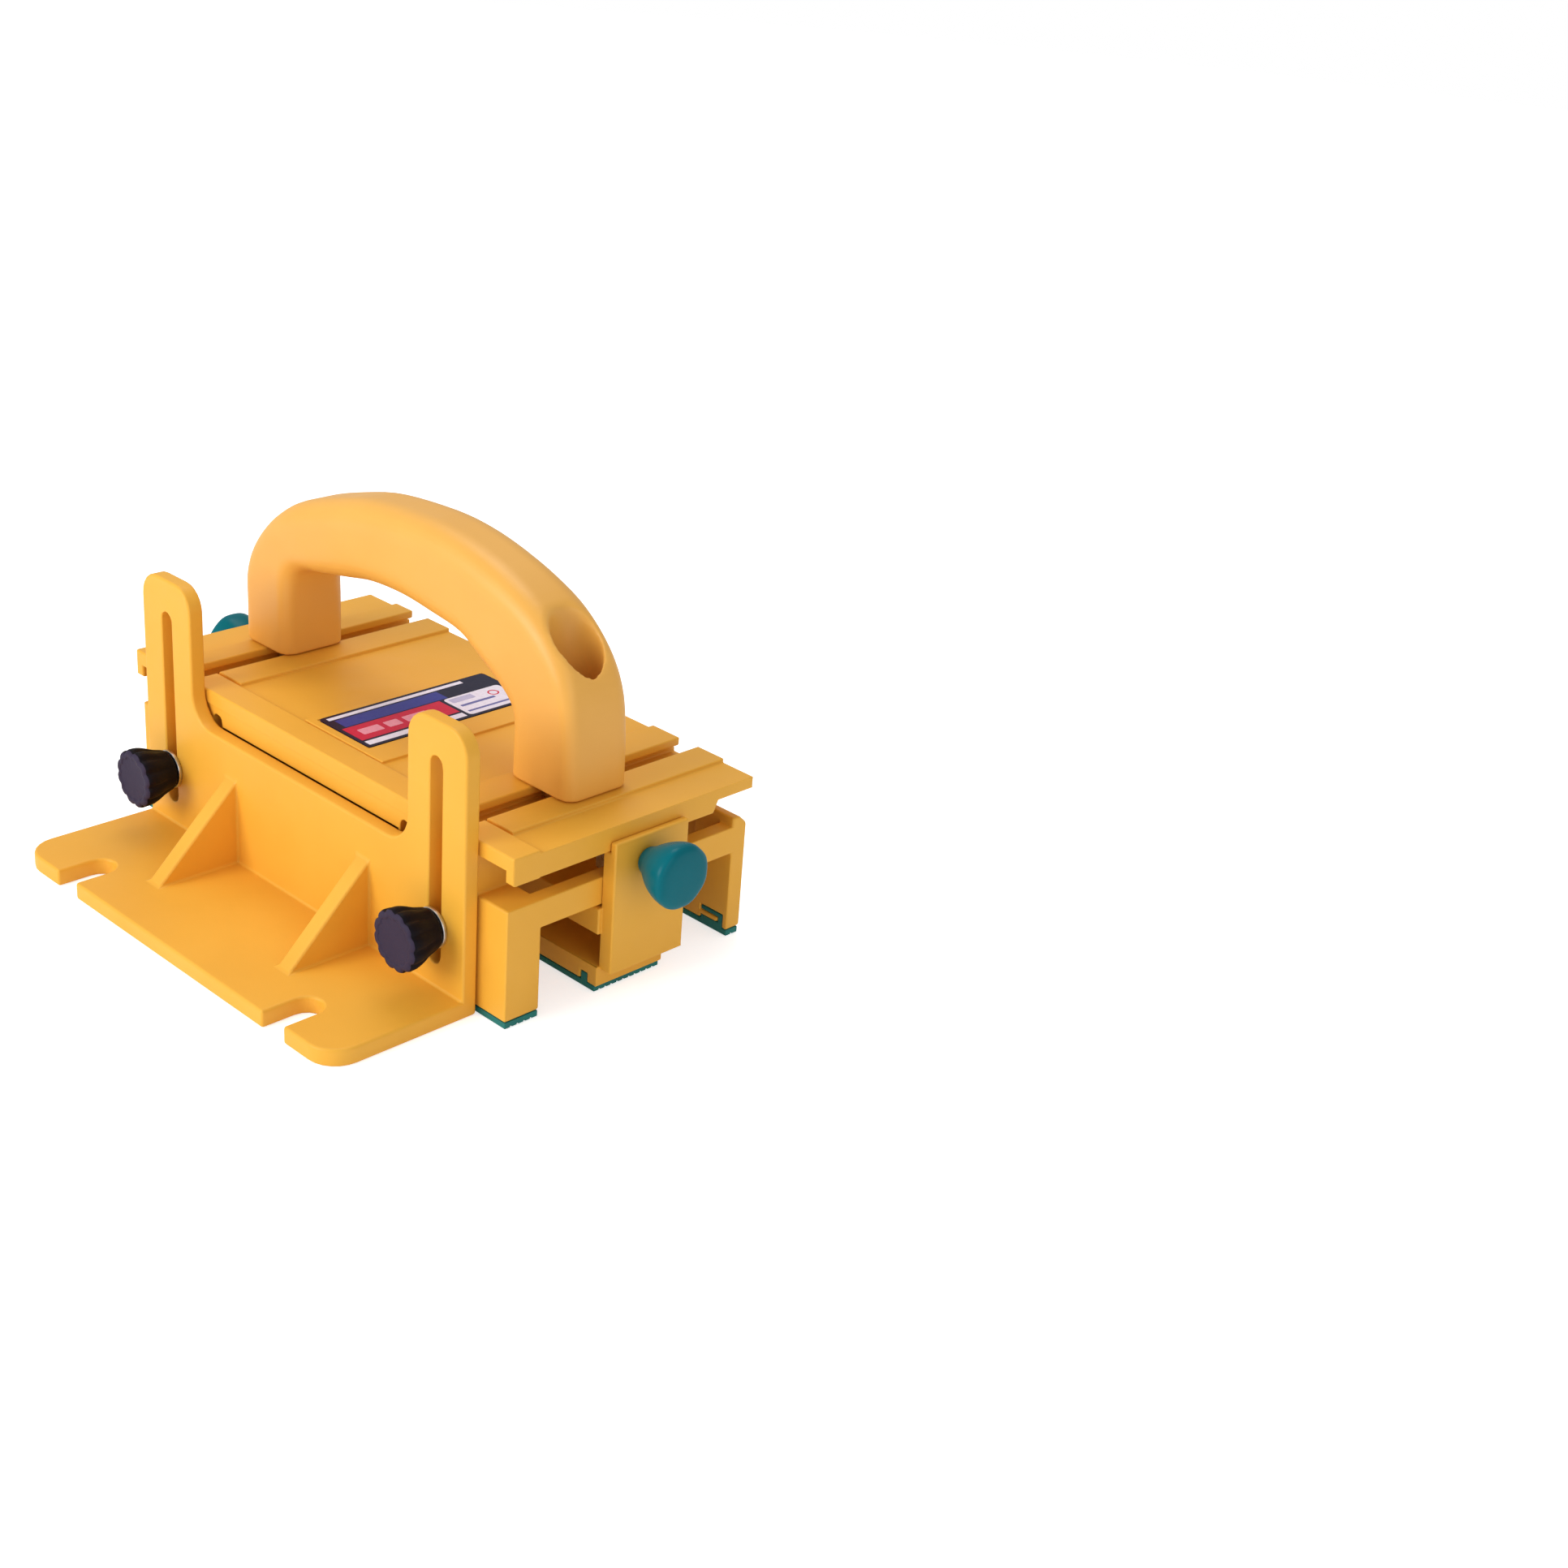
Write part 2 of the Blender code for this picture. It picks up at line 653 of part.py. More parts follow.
def stud(name, axis, centre, low, high, look, parent):
    """A threaded stud with chamfered ends."""
    rings = []
    for along, radius in (
        (low, STUD_RADIUS - STUD_CHAMFER),
        (low + STUD_CHAMFER, STUD_RADIUS),
        (high - STUD_CHAMFER, STUD_RADIUS),
        (high, STUD_RADIUS - STUD_CHAMFER),
    ):
        rings.append([place(axis, along, a, b) for a, b in circle(centre, radius, ROD_SEGMENTS)])
    mesh = bmesh.new()
    loft(mesh, rings)
    origin = place(axis, 0.0, *centre)
    return to_object(name, mesh, look, origin=origin, parent=parent, smooth=True)


def knob(name, axis, centre, start, direction, profile, flutes, hole_depth, look, parent):
    """A fluted knob, turned from its profile, with a blind hole for its stud. The flutes fade towards its base."""
    lobes, depth = flutes
    widest = max(radius for _, radius in profile)
    rings = []
    for distance, radius in profile:
        along = start + direction * distance
        rings.append(lobed_ring(axis, centre, along, radius, lobes, depth * (radius / widest) ** 3))
    mesh = bmesh.new()
    loft(mesh, rings)
    origin = place(axis, 0.0, *centre)
    made = to_object(name, mesh, look, origin=origin, parent=parent, smooth=True)
    hole = bmesh.new()
    ends = sorted((start - direction * THROUGH, start + direction * hole_depth))
    prism(hole, circle(centre, STUD_BORE, ROD_SEGMENTS), axis, ends[0], ends[1])
    cut(made, "hole", hole)
    return made


def support_clamp(name, side, looks, body_frame, knob_frame):
    """One black knob of the support with its stud, washer and captive nut."""
    centre = (side * POST_SLOT_X, SUPPORT_KNOB_Z)
    knob(
        f"support_knob_{name}",
        "Y",
        centre,
        SUPPORT_KNOB_Y[1],
        -1.0,
        SUPPORT_KNOB_PROFILE,
        (SUPPORT_KNOB_LOBES, SUPPORT_KNOB_FLUTE),
        SUPPORT_KNOB_HOLE,
        looks["black"],
        knob_frame,
    )
    nut_low = NEAR_LEG_Y[1] - NUT_THICKNESS - CLEARANCE
    stud_start = SUPPORT_KNOB_Y[1] - SUPPORT_KNOB_HOLE + CLEARANCE
    stud(
        f"support_stud_{name}",
        "Y",
        centre,
        stud_start,
        NEAR_LEG_Y[1] - CLEARANCE,
        looks["steel"],
        knob_frame,
    )
    washer = bmesh.new()
    tube(washer, "Y", centre, WASHER_RADIUS, WASHER_BORE, SUPPORT_WASHER_Y[0], SUPPORT_WASHER_Y[1])
    to_object(f"support_washer_{name}", washer, looks["steel"], parent=body_frame, smooth=True)
    hex_nut(f"support_nut_{name}", "Y", centre, nut_low, looks["steel"], body_frame)


def centre_leg(look, parent):
    """The leg that slides between the others: foot bar, upper web and two end plates."""
    foot = bmesh.new()
    reach = END_PLATE_X[0] + OVERLAP
    box(foot, (-reach, reach), CENTRE_LEG_Y, (LEG_LOW_Z, FOOT_TOP_Z))
    leg = to_object("centre_leg_frame", foot, look, parent=parent)

    plates = bmesh.new()
    low_x, high_x = END_PLATE_X
    for side in (1.0, -1.0):
        outline = (
            (side * low_x, END_PLATE_Z[0]),
            (side * high_x, END_PLATE_Z[0]),
            (side * high_x, END_PLATE_Z[1]),
            (side * END_PLATE_UPPER_X, END_PLATE_Z[1]),
            (side * END_PLATE_UPPER_X, END_PLATE_STEP_Z),
            (side * low_x, END_PLATE_STEP_Z),
        )
        prism(plates, outline, "Y", END_PLATE_Y[0], END_PLATE_Y[1])
    add(leg, "end_plates", plates)

    web = bmesh.new()
    near, far = CENTRE_LEG_Y
    box(web, (-reach, reach), (near, far), (WEB_Z[1] - WEB_WALL, WEB_Z[1]))
    add(leg, "web", web)
    sides = bmesh.new()
    box(sides, (-reach, reach), (near, near + WEB_WALL), (WEB_Z[0], WEB_Z[1] - WEB_WALL + OVERLAP))
    box(sides, (-reach, reach), (far - WEB_WALL, far), (WEB_Z[0], WEB_Z[1] - WEB_WALL + OVERLAP))
    add(leg, "web_sides", sides)

    posts = bmesh.new()
    for x in WEB_POSTS_X:
        span = (x - WEB_POST_WIDTH / 2, x + WEB_POST_WIDTH / 2)
        box(posts, span, (near + OVERLAP, far - OVERLAP), (FOOT_TOP_Z - OVERLAP, WEB_Z[1] - OVERLAP))
    add(leg, "posts", posts)

    cut(leg, "lug_recesses", lug_recesses(tab_lug, TAB_CENTRES_X, near))

    holes = bmesh.new()
    for side in (1.0, -1.0):
        ends = sorted((side * (low_x - THROUGH), side * (high_x + THROUGH)))
        prism(holes, circle((LEG_KNOB_Y, LEG_KNOB_Z), STUD_BORE), "X", ends[0], ends[1])
    cut(leg, "stud_holes", holes)
    return leg


def leg_clamp(name, side, looks, leg_frame, knob_frame):
    """One green knob of the centre leg with its stud and clamp plate."""
    centre = (LEG_KNOB_Y, LEG_KNOB_Z)
    start = side * (END_PLATE_X[1] + CLEARANCE)
    knob(
        f"leg_knob_{name}",
        "X",
        centre,
        start,
        side,
        LEG_KNOB_PROFILE,
        (LEG_KNOB_LOBES, LEG_KNOB_FLUTE),
        LEG_KNOB_HOLE,
        looks["green"],
        knob_frame,
    )
    hole_end = start + side * LEG_KNOB_HOLE
    ends = sorted((hole_end - side * CLEARANCE, side * (CLAMP_PLATE_X[0] - STUD_OVERHANG)))
    stud(f"leg_stud_{name}", "X", centre, ends[0], ends[1], looks["steel"], knob_frame)
    plate = bmesh.new()
    x = sorted((side * CLAMP_PLATE_X[0], side * CLAMP_PLATE_X[1]))
    half = CLAMP_PLATE_HALF_WIDTH
    box(plate, x, (LEG_KNOB_Y - half, LEG_KNOB_Y + half), CLAMP_PLATE_Z)
    made = to_object(f"leg_clamp_plate_{name}", plate, looks["steel"], parent=leg_frame)
    hole = bmesh.new()
    prism(hole, circle(centre, STUD_BORE), "X", x[0] - THROUGH, x[1] + THROUGH)
    cut(made, "hole", hole)


def smooth_stations(stations, steps):
    """A Catmull-Rom curve through each outline, with the given number of steps between points."""
    made = []
    last = len(stations) - 1
    for i in range(last):
        four = [stations[min(max(i + k, 0), last)] for k in (-1, 0, 1, 2)]
        for step in range(steps):
            t = step / steps
            pair = []
            for line in (0, 1):
                p = [Vector(point[line]) for point in four]
                value = 0.5 * (
                    2.0 * p[1]
                    + (p[2] - p[0]) * t
                    + (2.0 * p[0] - 5.0 * p[1] + 4.0 * p[2] - p[3]) * t * t
                    + (3.0 * p[1] - p[0] - 3.0 * p[2] + p[3]) * t**3
                )
                pair.append(value)
            made.append(pair)
    made.append([Vector(point) for point in stations[-1]])
    return made


def grip_ring(outer, inner, half_width, rounding):
    """A rounded rectangle between the outer and inner outline, standing across the block."""
    middle = (outer + inner) / 2
    across = (outer - inner) / 2
    half_depth = across.length
    direction = across.normalized()
    corners = (
        (half_width - rounding, half_depth - rounding, 0.0),
        (rounding - half_width, half_depth - rounding, 90.0),
        (rounding - half_width, rounding - half_depth, 180.0),
        (half_width - rounding, rounding - half_depth, 270.0),
    )
    ring = []
    for a, b, start in corners:
        for u, v in arc((a, b), rounding, start, start + 90.0, RING_CORNER_STEPS):
            point = middle + direction * v
            ring.append(Vector((point.x, HANDLE_CENTRE_Y + u, point.y)))
    return ring


def handle_grip(look, parent):
    """The looped handle, skinned over rounded sections, with two deep counterbores for its bolts."""
    rings = []
    low, high = ROUNDING_BLEND_Z
    for outer, inner in smooth_stations(HANDLE_STATIONS, STATION_STEPS):
        height = (outer.y + inner.y) / 2
        share = min(max((height - low) / (high - low), 0.0), 1.0)
        rounding = FOOT_ROUNDING + (GRIP_ROUNDING - FOOT_ROUNDING) * share
        rings.append(grip_ring(outer, inner, HANDLE_HALF_WIDTH, rounding))
    mesh = bmesh.new()
    loft(mesh, rings)
    grip = to_object("handle_grip", mesh, look, parent=parent, smooth=True)
    counterbores = bmesh.new()
    shanks = bmesh.new()
    for x, radius in zip(HANDLE_BOLTS_X, COUNTERBORE_RADII):
        centre = (x, HANDLE_CENTRE_Y)
        top = HANDLE_TOP_Z + THROUGH
        prism(counterbores, circle(centre, radius), "Z", COUNTERBORE_FLOOR_Z, top)
        low = HANDLE_BASE_Z - THROUGH
        prism(shanks, circle(centre, STUD_BORE), "Z", low, COUNTERBORE_FLOOR_Z + OVERLAP)
    cut(grip, "counterbores", counterbores)
    cut(grip, "shank_holes", shanks)
    return grip


def handle_bolt(name, x, looks, parent):
    """A T-bolt whose square head rides in the slot, with its washer and nut at the bottom of the counterbore."""
    centre = (x, HANDLE_CENTRE_Y)
    head = bmesh.new()
    low = SLOT_FLOOR_Z + CLEARANCE
    high = low + BOLT_HEAD_SIZE[2]
    half = BOLT_HEAD_SIZE[0] / 2
    box(head, (x - half, x + half), (HANDLE_CENTRE_Y - half, HANDLE_CENTRE_Y + half), (low, high))
    bolt = to_object(f"handle_bolt_{name}", head, looks["steel"], parent=parent)
    shank = bmesh.new()
    prism(shank, circle(centre, STUD_RADIUS, ROD_SEGMENTS), "Z", high - OVERLAP, BOLT_TOP_Z)
    add(bolt, "shank", shank)
    washer = bmesh.new()
    radius, thickness = HANDLE_WASHER
    washer_low = COUNTERBORE_FLOOR_Z + CLEARANCE
    tube(washer, "Z", centre, radius, WASHER_BORE, washer_low, washer_low + thickness)
    to_object(f"handle_washer_{name}", washer, looks["steel"], parent=parent, smooth=True)
    nut_low = washer_low + thickness + CLEARANCE
    hex_nut(f"handle_nut_{name}", "Z", centre, nut_low, looks["steel"], parent)


def main():
    clear_scene()
    looks = {
        "yellow": material("yellow_plastic", YELLOW, 0.42),
        "green": material("green_rubber", GREEN, 0.55),
        "black": material("black_plastic", BLACK, 0.45),
        "steel": material("zinc_steel", STEEL, 0.3, 1.0),
        "label": material("printed_label", NAVY, 0.35),
    }
    body_frame = empty("block_frame", (0.0, 0.0, 0.0))
    support_frame = empty("support_frame", (0.0, WALL_Y[1], 0.0), body_frame)
    leg_frame = empty("centre_leg_slide", (0.0, LEG_KNOB_Y, LEG_KNOB_Z), body_frame)
    handle_frame = empty("handle_slide", (0.0, HANDLE_CENTRE_Y, HANDLE_BASE_Z), body_frame)

    body_shell(looks["yellow"])
    label_sticker(looks["label"])
    sole("near_leg_sole", NEAR_LEG_Y, looks["green"])
    far_lugs = lug_solids(framed_lug, LUG_CENTRES_X, FAR_LEG_Y[0])
    sole("far_leg_sole", FAR_LEG_Y, looks["green"], far_lugs)
    balance_support(looks["yellow"], support_frame)
    centre_leg(looks["yellow"], leg_frame)
    centre_lugs = lug_solids(tab_lug, TAB_CENTRES_X, CENTRE_LEG_Y[0])
    sole("centre_leg_sole", CENTRE_LEG_Y, looks["green"], centre_lugs, leg_frame)
    handle_grip(looks["yellow"], handle_frame)
    for name, x in zip(HANDLE_BOLT_NAMES, HANDLE_BOLTS_X):
        handle_bolt(name, x, looks, handle_frame)
    for name, side in (("front", 1.0), ("rear", -1.0)):
        at = (side * POST_SLOT_X, SUPPORT_KNOB_Y[1], SUPPORT_KNOB_Z)
        knob_frame = empty(f"support_knob_turn_{name}", at, body_frame)
        support_clamp(name, side, looks, body_frame, knob_frame)
        at = (side * END_PLATE_X[1], LEG_KNOB_Y, LEG_KNOB_Z)
        knob_frame = empty(f"leg_knob_turn_{name}", at, leg_frame)
        leg_clamp(name, side, looks, leg_frame, knob_frame)


main()
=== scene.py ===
"""The push block's looks on its CAD frame: soft mouldings, fluted knobs, soles, label and fasteners."""

import math

import bmesh
import bpy
from mathutils import Matrix, Vector


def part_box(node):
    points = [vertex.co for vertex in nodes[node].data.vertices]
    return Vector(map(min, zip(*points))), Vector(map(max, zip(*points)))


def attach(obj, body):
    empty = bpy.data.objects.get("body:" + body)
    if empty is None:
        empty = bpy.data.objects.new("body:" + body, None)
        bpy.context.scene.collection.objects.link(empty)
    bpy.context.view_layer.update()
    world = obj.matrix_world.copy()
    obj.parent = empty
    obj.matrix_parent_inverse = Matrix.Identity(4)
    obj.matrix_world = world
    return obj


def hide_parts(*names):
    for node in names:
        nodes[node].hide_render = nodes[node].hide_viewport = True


MM = 0.001

# Mesh tolerances: what counts as one point, as flat, as an edge to round and as no width at all, and how far
# past an edge's ends a point still lies beside it.
WELD = 2e-6
FLAT = math.radians(1.0)
SHARP = math.radians(32.0)
NO_WIDTH = 0.02 * MM
PAST_END = 0.01 * MM

# The rounding of the edges: its widest reach on each piece, and the share of a narrow face that it may take.
BODY_EDGE = 0.9 * MM
SUPPORT_EDGE = 1.1 * MM
LEG_EDGE = 0.8 * MM
SOLE_EDGE = 0.35 * MM
PLATE_EDGE = 0.5 * MM
BEVEL_SHARE = 0.42
BEVEL_SEGMENTS = 3

# The handle's skin: the pitch of its mesh, and how often its points move half way to their neighbours. Points
# near the rim of a counterbore, within reach of its radius and above the low height, move more often.
HANDLE_PITCH = 0.65 * MM
HANDLE_RELAX = 10
RELAX_SHARE = 0.5
RIM_RADII = {"front": 9.8 * MM, "rear": 8.0 * MM}
RIM_REACH = 2.4 * MM
RIM_LOW_Z = 92.0 * MM
RIM_RELAX = 24

# The soles' tread.
GROOVE_PITCH = 2.9 * MM
GROOVE_WIDTH = 0.8 * MM
GROOVE_DEPTH = 0.45 * MM

# The flutes of the knobs: how many, how deep as a share of the radius, and how narrow. They fade in between two
# distances from the base, in millimetres.
LEG_KNOB_FLUTES = (8, 0.018, 1.0)
SUPPORT_KNOB_FLUTES = (12, 0.08, 2.5)
FLUTE_FADE = (1.0, 9.0)

# The outlines of the knobs, in millimetres along the axis from the base and out from the axis: the stud hole,
# the side, the outer rim, and the shallow dish of the support knob's face.
STUD_HOLE_RADIUS = 3.0
STUD_HOLE_EDGE = 0.3
LEG_KNOB_HOLE_DEPTH = 9.7
SUPPORT_KNOB_HOLE_DEPTH = 7.7
LEG_KNOB_SIDE = ((0.0, 4.6), (0.4, 5.1), (3.0, 6.3), (6.5, 8.7), (10.0, 10.7), (14.0, 12.2), (17.0, 12.6))
LEG_KNOB_RIM = ((17.0, 12.6), (18.4, 12.2), (19.2, 11.2), (19.6, 9.8), (19.8, 7.0), (19.9, 3.0))
SUPPORT_KNOB_SIDE = ((0.0, 7.0), (0.3, 7.6), (1.2, 8.3), (5.0, 9.4), (8.5, 10.9), (11.5, 11.8), (14.2, 12.0))
SUPPORT_KNOB_RIM = ((14.2, 12.0), (15.2, 11.7), (15.8, 11.0), (16.0, 10.2))
SUPPORT_KNOB_DISH = ((16.0, 9.4), (15.9, 9.1), (15.7, 8.9), (15.65, 8.5), (15.6, 4.0), (15.6, 0.0))

# How finely the knobs are turned, and the share of a knob's length at which its outer face begins.
KNOB_SEGMENTS = 144
PROFILE_STEPS = 3
KNOB_FACE_SHARE = 0.955

# Studs, bolts, nuts and washers.
ROD_RADIUS = 2.7 * MM
ROD_CHAMFER = 0.5 * MM
ROD_SEGMENTS = 32
BOLT_SEGMENTS = 64
THREAD_PITCH = 1.0 * MM
THREAD_DEPTH = 0.45 * MM
THREAD_STEPS = 8
THREAD_ROOT = 0.12
HEAD_THICKNESS = 2.9 * MM
HEAD_CORNER_REACH = 1.33
HEAD_EDGE = 0.35 * MM
NUT_ACROSS_FLATS = 10.0 * MM
NUT_BORE = 3.1 * MM
NUT_SINK = 0.4 * MM
NUT_DROP = 0.9 * MM
NUT_SEGMENTS = 72
NUT_FACE = 0.96
NUT_CHAMFER_SLOPE = 1.73
WASHER_BORE = 3.4 * MM
WASHER_EDGE = 0.3 * MM
WASHER_SEGMENTS = 72

# The label's print: the thickness of a layer of ink, the corners, and the inks themselves.
INK = 0.03 * MM
LABEL_CORNER = 2.0 * MM
BAR_CORNER = LABEL_CORNER / 3
CORNER_STEPS = 8
INK_COLOURS = {
    "navy": (0.012, 0.010, 0.035),
    "blue": (0.045, 0.050, 0.30),
    "red": (0.66, 0.012, 0.055),
    "rose": (0.90, 0.34, 0.44),
    "pale": (0.88, 0.84, 0.97),
    "lilac": (0.55, 0.52, 0.74),
    "steel_blue": (0.16, 0.17, 0.42),
}

# The label's patches: the ink, the start and end across the label and along it as shares of its size, the
# layer, and the radius of the corners.
LABEL_PATCHES = (
    ("pale", (0.05, 0.12), (0.03, 0.84), 1, 0.0),
    ("blue", (0.15, 0.38), (0.05, 0.66), 1, 0.0),
    ("red", (0.40, 0.80), (0.02, 0.60), 1, 0.0),
    ("pale", (0.84, 0.95), (0.02, 0.60), 1, 0.0),
    ("pale", (0.40, 0.95), (0.62, 0.965), 1, LABEL_CORNER),
    ("steel_blue", (0.83, 0.87), (0.64, 0.92), 2, 0.0),
    ("steel_blue", (0.65, 0.70), (0.65, 0.86), 2, 0.0),
    ("lilac", (0.44, 0.56), (0.64, 0.78), 2, BAR_CORNER),
    ("rose", (0.52, 0.68), (0.07, 0.19), 2, BAR_CORNER),
    ("rose", (0.52, 0.68), (0.22, 0.30), 2, BAR_CORNER),
    ("rose", (0.52, 0.68), (0.33, 0.47), 2, BAR_CORNER),
)

# The ring on the label: its place as shares across and along, and its radii.
RING_AT = (0.57, 0.885)
RING_RADIUS = 2.4 * MM
RING_BORE = 0.72 * RING_RADIUS
RING_SEGMENTS = 48

# The stage: a floor just under the object, the glow of the floor and of the room as the scene and as the lens
# get it, and each light's place, the side of its square and its power in watts.
FLOOR_RADIUS = 3.0
FLOOR_SEGMENTS = 96
FLOOR_DROP = 0.2 * MM
FLOOR_GLOW = (0.14, 0.62)
ROOM_LIGHT = (0.52, 1.0)
WHITE = (1.0, 1.0, 1.0, 1.0)
LIT_POINT = (0.0, 0.0, 0.06)
LIGHTS = {
    "key": ((-0.35, -1.6, 0.75), 1.0, 20.0),
    "side": ((1.6, -0.3, 0.6), 0.9, 3.2),
    "top": ((-0.5, 0.4, 1.6), 0.8, 7.5),
}

# The camera: its place, its turn from the near side, its tilt below the level and its roll. The lens and the
# width of the film are in millimetres.
CAMERA_AT = (0.6450, -0.4799, 0.4239)
CAMERA_TURN = math.radians(41.917)
CAMERA_TILT = math.radians(24.766)
CAMERA_ROLL = math.radians(4.747)
CAMERA_LENS = 52.23
CAMERA_FILM = 36.0

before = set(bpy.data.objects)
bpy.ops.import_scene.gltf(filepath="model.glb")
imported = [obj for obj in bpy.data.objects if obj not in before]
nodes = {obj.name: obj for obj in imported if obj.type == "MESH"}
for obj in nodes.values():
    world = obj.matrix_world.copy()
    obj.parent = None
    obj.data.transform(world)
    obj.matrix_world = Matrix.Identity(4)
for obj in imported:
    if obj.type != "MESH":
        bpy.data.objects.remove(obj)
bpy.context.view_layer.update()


# ---------------------------------------------------------------- materials


def new_material(name):
    """A material with its node tree and its shader."""
    made = bpy.data.materials.new(name)
    made.use_nodes = True
    tree = made.node_tree
    return made, tree, tree.nodes["Principled BSDF"]


def noise_field(tree, scale, detail, roughness=0.5):
    """Noise in the object's own coordinates; scale is in cycles per metre."""
    coords = tree.nodes.new("ShaderNodeTexCoord")
    field = tree.nodes.new("ShaderNodeTexNoise")
    field.inputs["Scale"].default_value = scale
    field.inputs["Detail"].default_value = detail
    field.inputs["Roughness"].default_value = roughness
    tree.links.new(coords.outputs["Object"], field.inputs["Vector"])
    return field


def colour_mix(tree, factor, low, high, low_at=0.3, high_at=0.7):
    """A ramp between two colours."""
    ramp = tree.nodes.new("ShaderNodeValToRGB")
    ramp.color_ramp.elements[0].position = low_at
    ramp.color_ramp.elements[0].color = (*low, 1.0)
    ramp.color_ramp.elements[1].position = high_at
    ramp.color_ramp.elements[1].color = (*high, 1.0)
    tree.links.new(factor, ramp.inputs["Fac"])
    return ramp.outputs["Color"]


def value_range(tree, factor, low, high):
    """Spreads the middle half of a factor over the values from low to high."""
    spread = tree.nodes.new("ShaderNodeMapRange")
    spread.inputs["From Min"].default_value = 0.25
    spread.inputs["From Max"].default_value = 0.75
    spread.inputs["To Min"].default_value = low
    spread.inputs["To Max"].default_value = high
    tree.links.new(factor, spread.inputs["Value"])
    return spread.outputs["Result"]


def bump_from(tree, height, strength, distance, onto=None):
    """A bump in the surface, on top of another where one is given."""
    bump = tree.nodes.new("ShaderNodeBump")
    bump.inputs["Strength"].default_value = strength
    bump.inputs["Distance"].default_value = distance
    tree.links.new(height, bump.inputs["Height"])
    if onto is not None:
        tree.links.new(onto, bump.inputs["Normal"])
    return bump.outputs["Normal"]


def moulded_plastic(name, low, high, rough, grain_scale, grain_depth, gloss):
    """Injection-moulded plastic: faint flow marks in the colour, a fine eroded grain and uneven gloss."""
    made, tree, shader = new_material(name)
    flow = noise_field(tree, scale=22.0, detail=3.0)
    grain = noise_field(tree, scale=grain_scale, detail=2.0, roughness=0.6)
    smear = noise_field(tree, scale=70.0, detail=4.0)
    tree.links.new(colour_mix(tree, flow.outputs["Fac"], low, high), shader.inputs["Base Color"])
    tree.links.new(value_range(tree, smear.outputs["Fac"], *rough), shader.inputs["Roughness"])
    wave = bump_from(tree, smear.outputs["Fac"], strength=0.15, distance=0.25 * MM)
    skin = bump_from(tree, grain.outputs["Fac"], strength=0.35, distance=grain_depth, onto=wave)
    tree.links.new(skin, shader.inputs["Normal"])
    shader.inputs["Specular IOR Level"].default_value = gloss
    return made


def soft_rubber():
    """Matt green rubber, a little blotchy, with a fine grain."""
    made, tree, shader = new_material("green_rubber")
    blotch = noise_field(tree, scale=60.0, detail=3.0)
    grain = noise_field(tree, scale=2600.0, detail=2.0, roughness=0.6)
    colours = colour_mix(tree, blotch.outputs["Fac"], (0.0, 0.13, 0.12), (0.004, 0.20, 0.17))
    tree.links.new(colours, shader.inputs["Base Color"])
    tree.links.new(value_range(tree, blotch.outputs["Fac"], low=0.55, high=0.72), shader.inputs["Roughness"])
    skin = bump_from(tree, grain.outputs["Fac"], strength=0.5, distance=0.06 * MM)
    tree.links.new(skin, shader.inputs["Normal"])
    return made


def plated_steel():
    """Zinc-plated steel, a little cloudy, with fine scratches."""
    made, tree, shader = new_material("zinc_steel")
    cloud = noise_field(tree, scale=240.0, detail=4.0)
    scratch = noise_field(tree, scale=3500.0, detail=1.0)
    colours = colour_mix(tree, cloud.outputs["Fac"], (0.52, 0.53, 0.55), (0.72, 0.72, 0.70))
    tree.links.new(colours, shader.inputs["Base Color"])
    tree.links.new(value_range(tree, cloud.outputs["Fac"], low=0.24, high=0.42), shader.inputs["Roughness"])
    skin = bump_from(tree, scratch.outputs["Fac"], strength=0.25, distance=0.02 * MM)
    tree.links.new(skin, shader.inputs["Normal"])
    shader.inputs["Metallic"].default_value = 1.0
    return made


def printed_film(name, colour):
    """One flat ink of the label, under a slightly orange-peeled clear film."""
    made, tree, shader = new_material(name)
    ink = noise_field(tree, scale=900.0, detail=2.0)
    film = noise_field(tree, scale=500.0, detail=2.0)
    dark = tuple(0.9 * c for c in colour)
    tree.links.new(colour_mix(tree, ink.outputs["Fac"], dark, colour), shader.inputs["Base Color"])
    tree.links.new(value_range(tree, film.outputs["Fac"], low=0.28, high=0.38), shader.inputs["Roughness"])
    peel = bump_from(tree, film.outputs["Fac"], strength=0.2, distance=0.03 * MM)
    tree.links.new(peel, shader.inputs["Normal"])
    shader.inputs["Specular IOR Level"].default_value = 0.15
    return made


YELLOW = moulded_plastic(
    "yellow_plastic",
    low=(0.82, 0.405, 0.038),
    high=(0.86, 0.435, 0.045),
    rough=(0.40, 0.52),
    grain_scale=1700.0,
    grain_depth=0.08 * MM,
    gloss=0.34,
)
# A paler copy of the body's yellow for the handle: the extra blue in its colour is a painted sheen, standing in
# for the pale highlights that the light from above leaves on the handle.
HANDLE_YELLOW_PAINTED_SHEEN = moulded_plastic(
    "handle_plastic_painted_sheen",
    low=(0.82, 0.41, 0.072),
    high=(0.86, 0.44, 0.082),
    rough=(0.36, 0.46),
    grain_scale=1700.0,
    grain_depth=0.06 * MM,
    gloss=0.42,
)
GREEN = moulded_plastic(
    "green_plastic",
    low=(0.0, 0.118, 0.148),
    high=(0.0, 0.142, 0.178),
    rough=(0.26, 0.38),
    grain_scale=1500.0,
    grain_depth=0.05 * MM,
    gloss=0.12,
)
BLACK = moulded_plastic(
    "black_plastic",
    low=(0.004, 0.003, 0.005),
    high=(0.007, 0.005, 0.009),
    rough=(0.42, 0.56),
    grain_scale=1500.0,
    grain_depth=0.06 * MM,
    gloss=0.10,
)
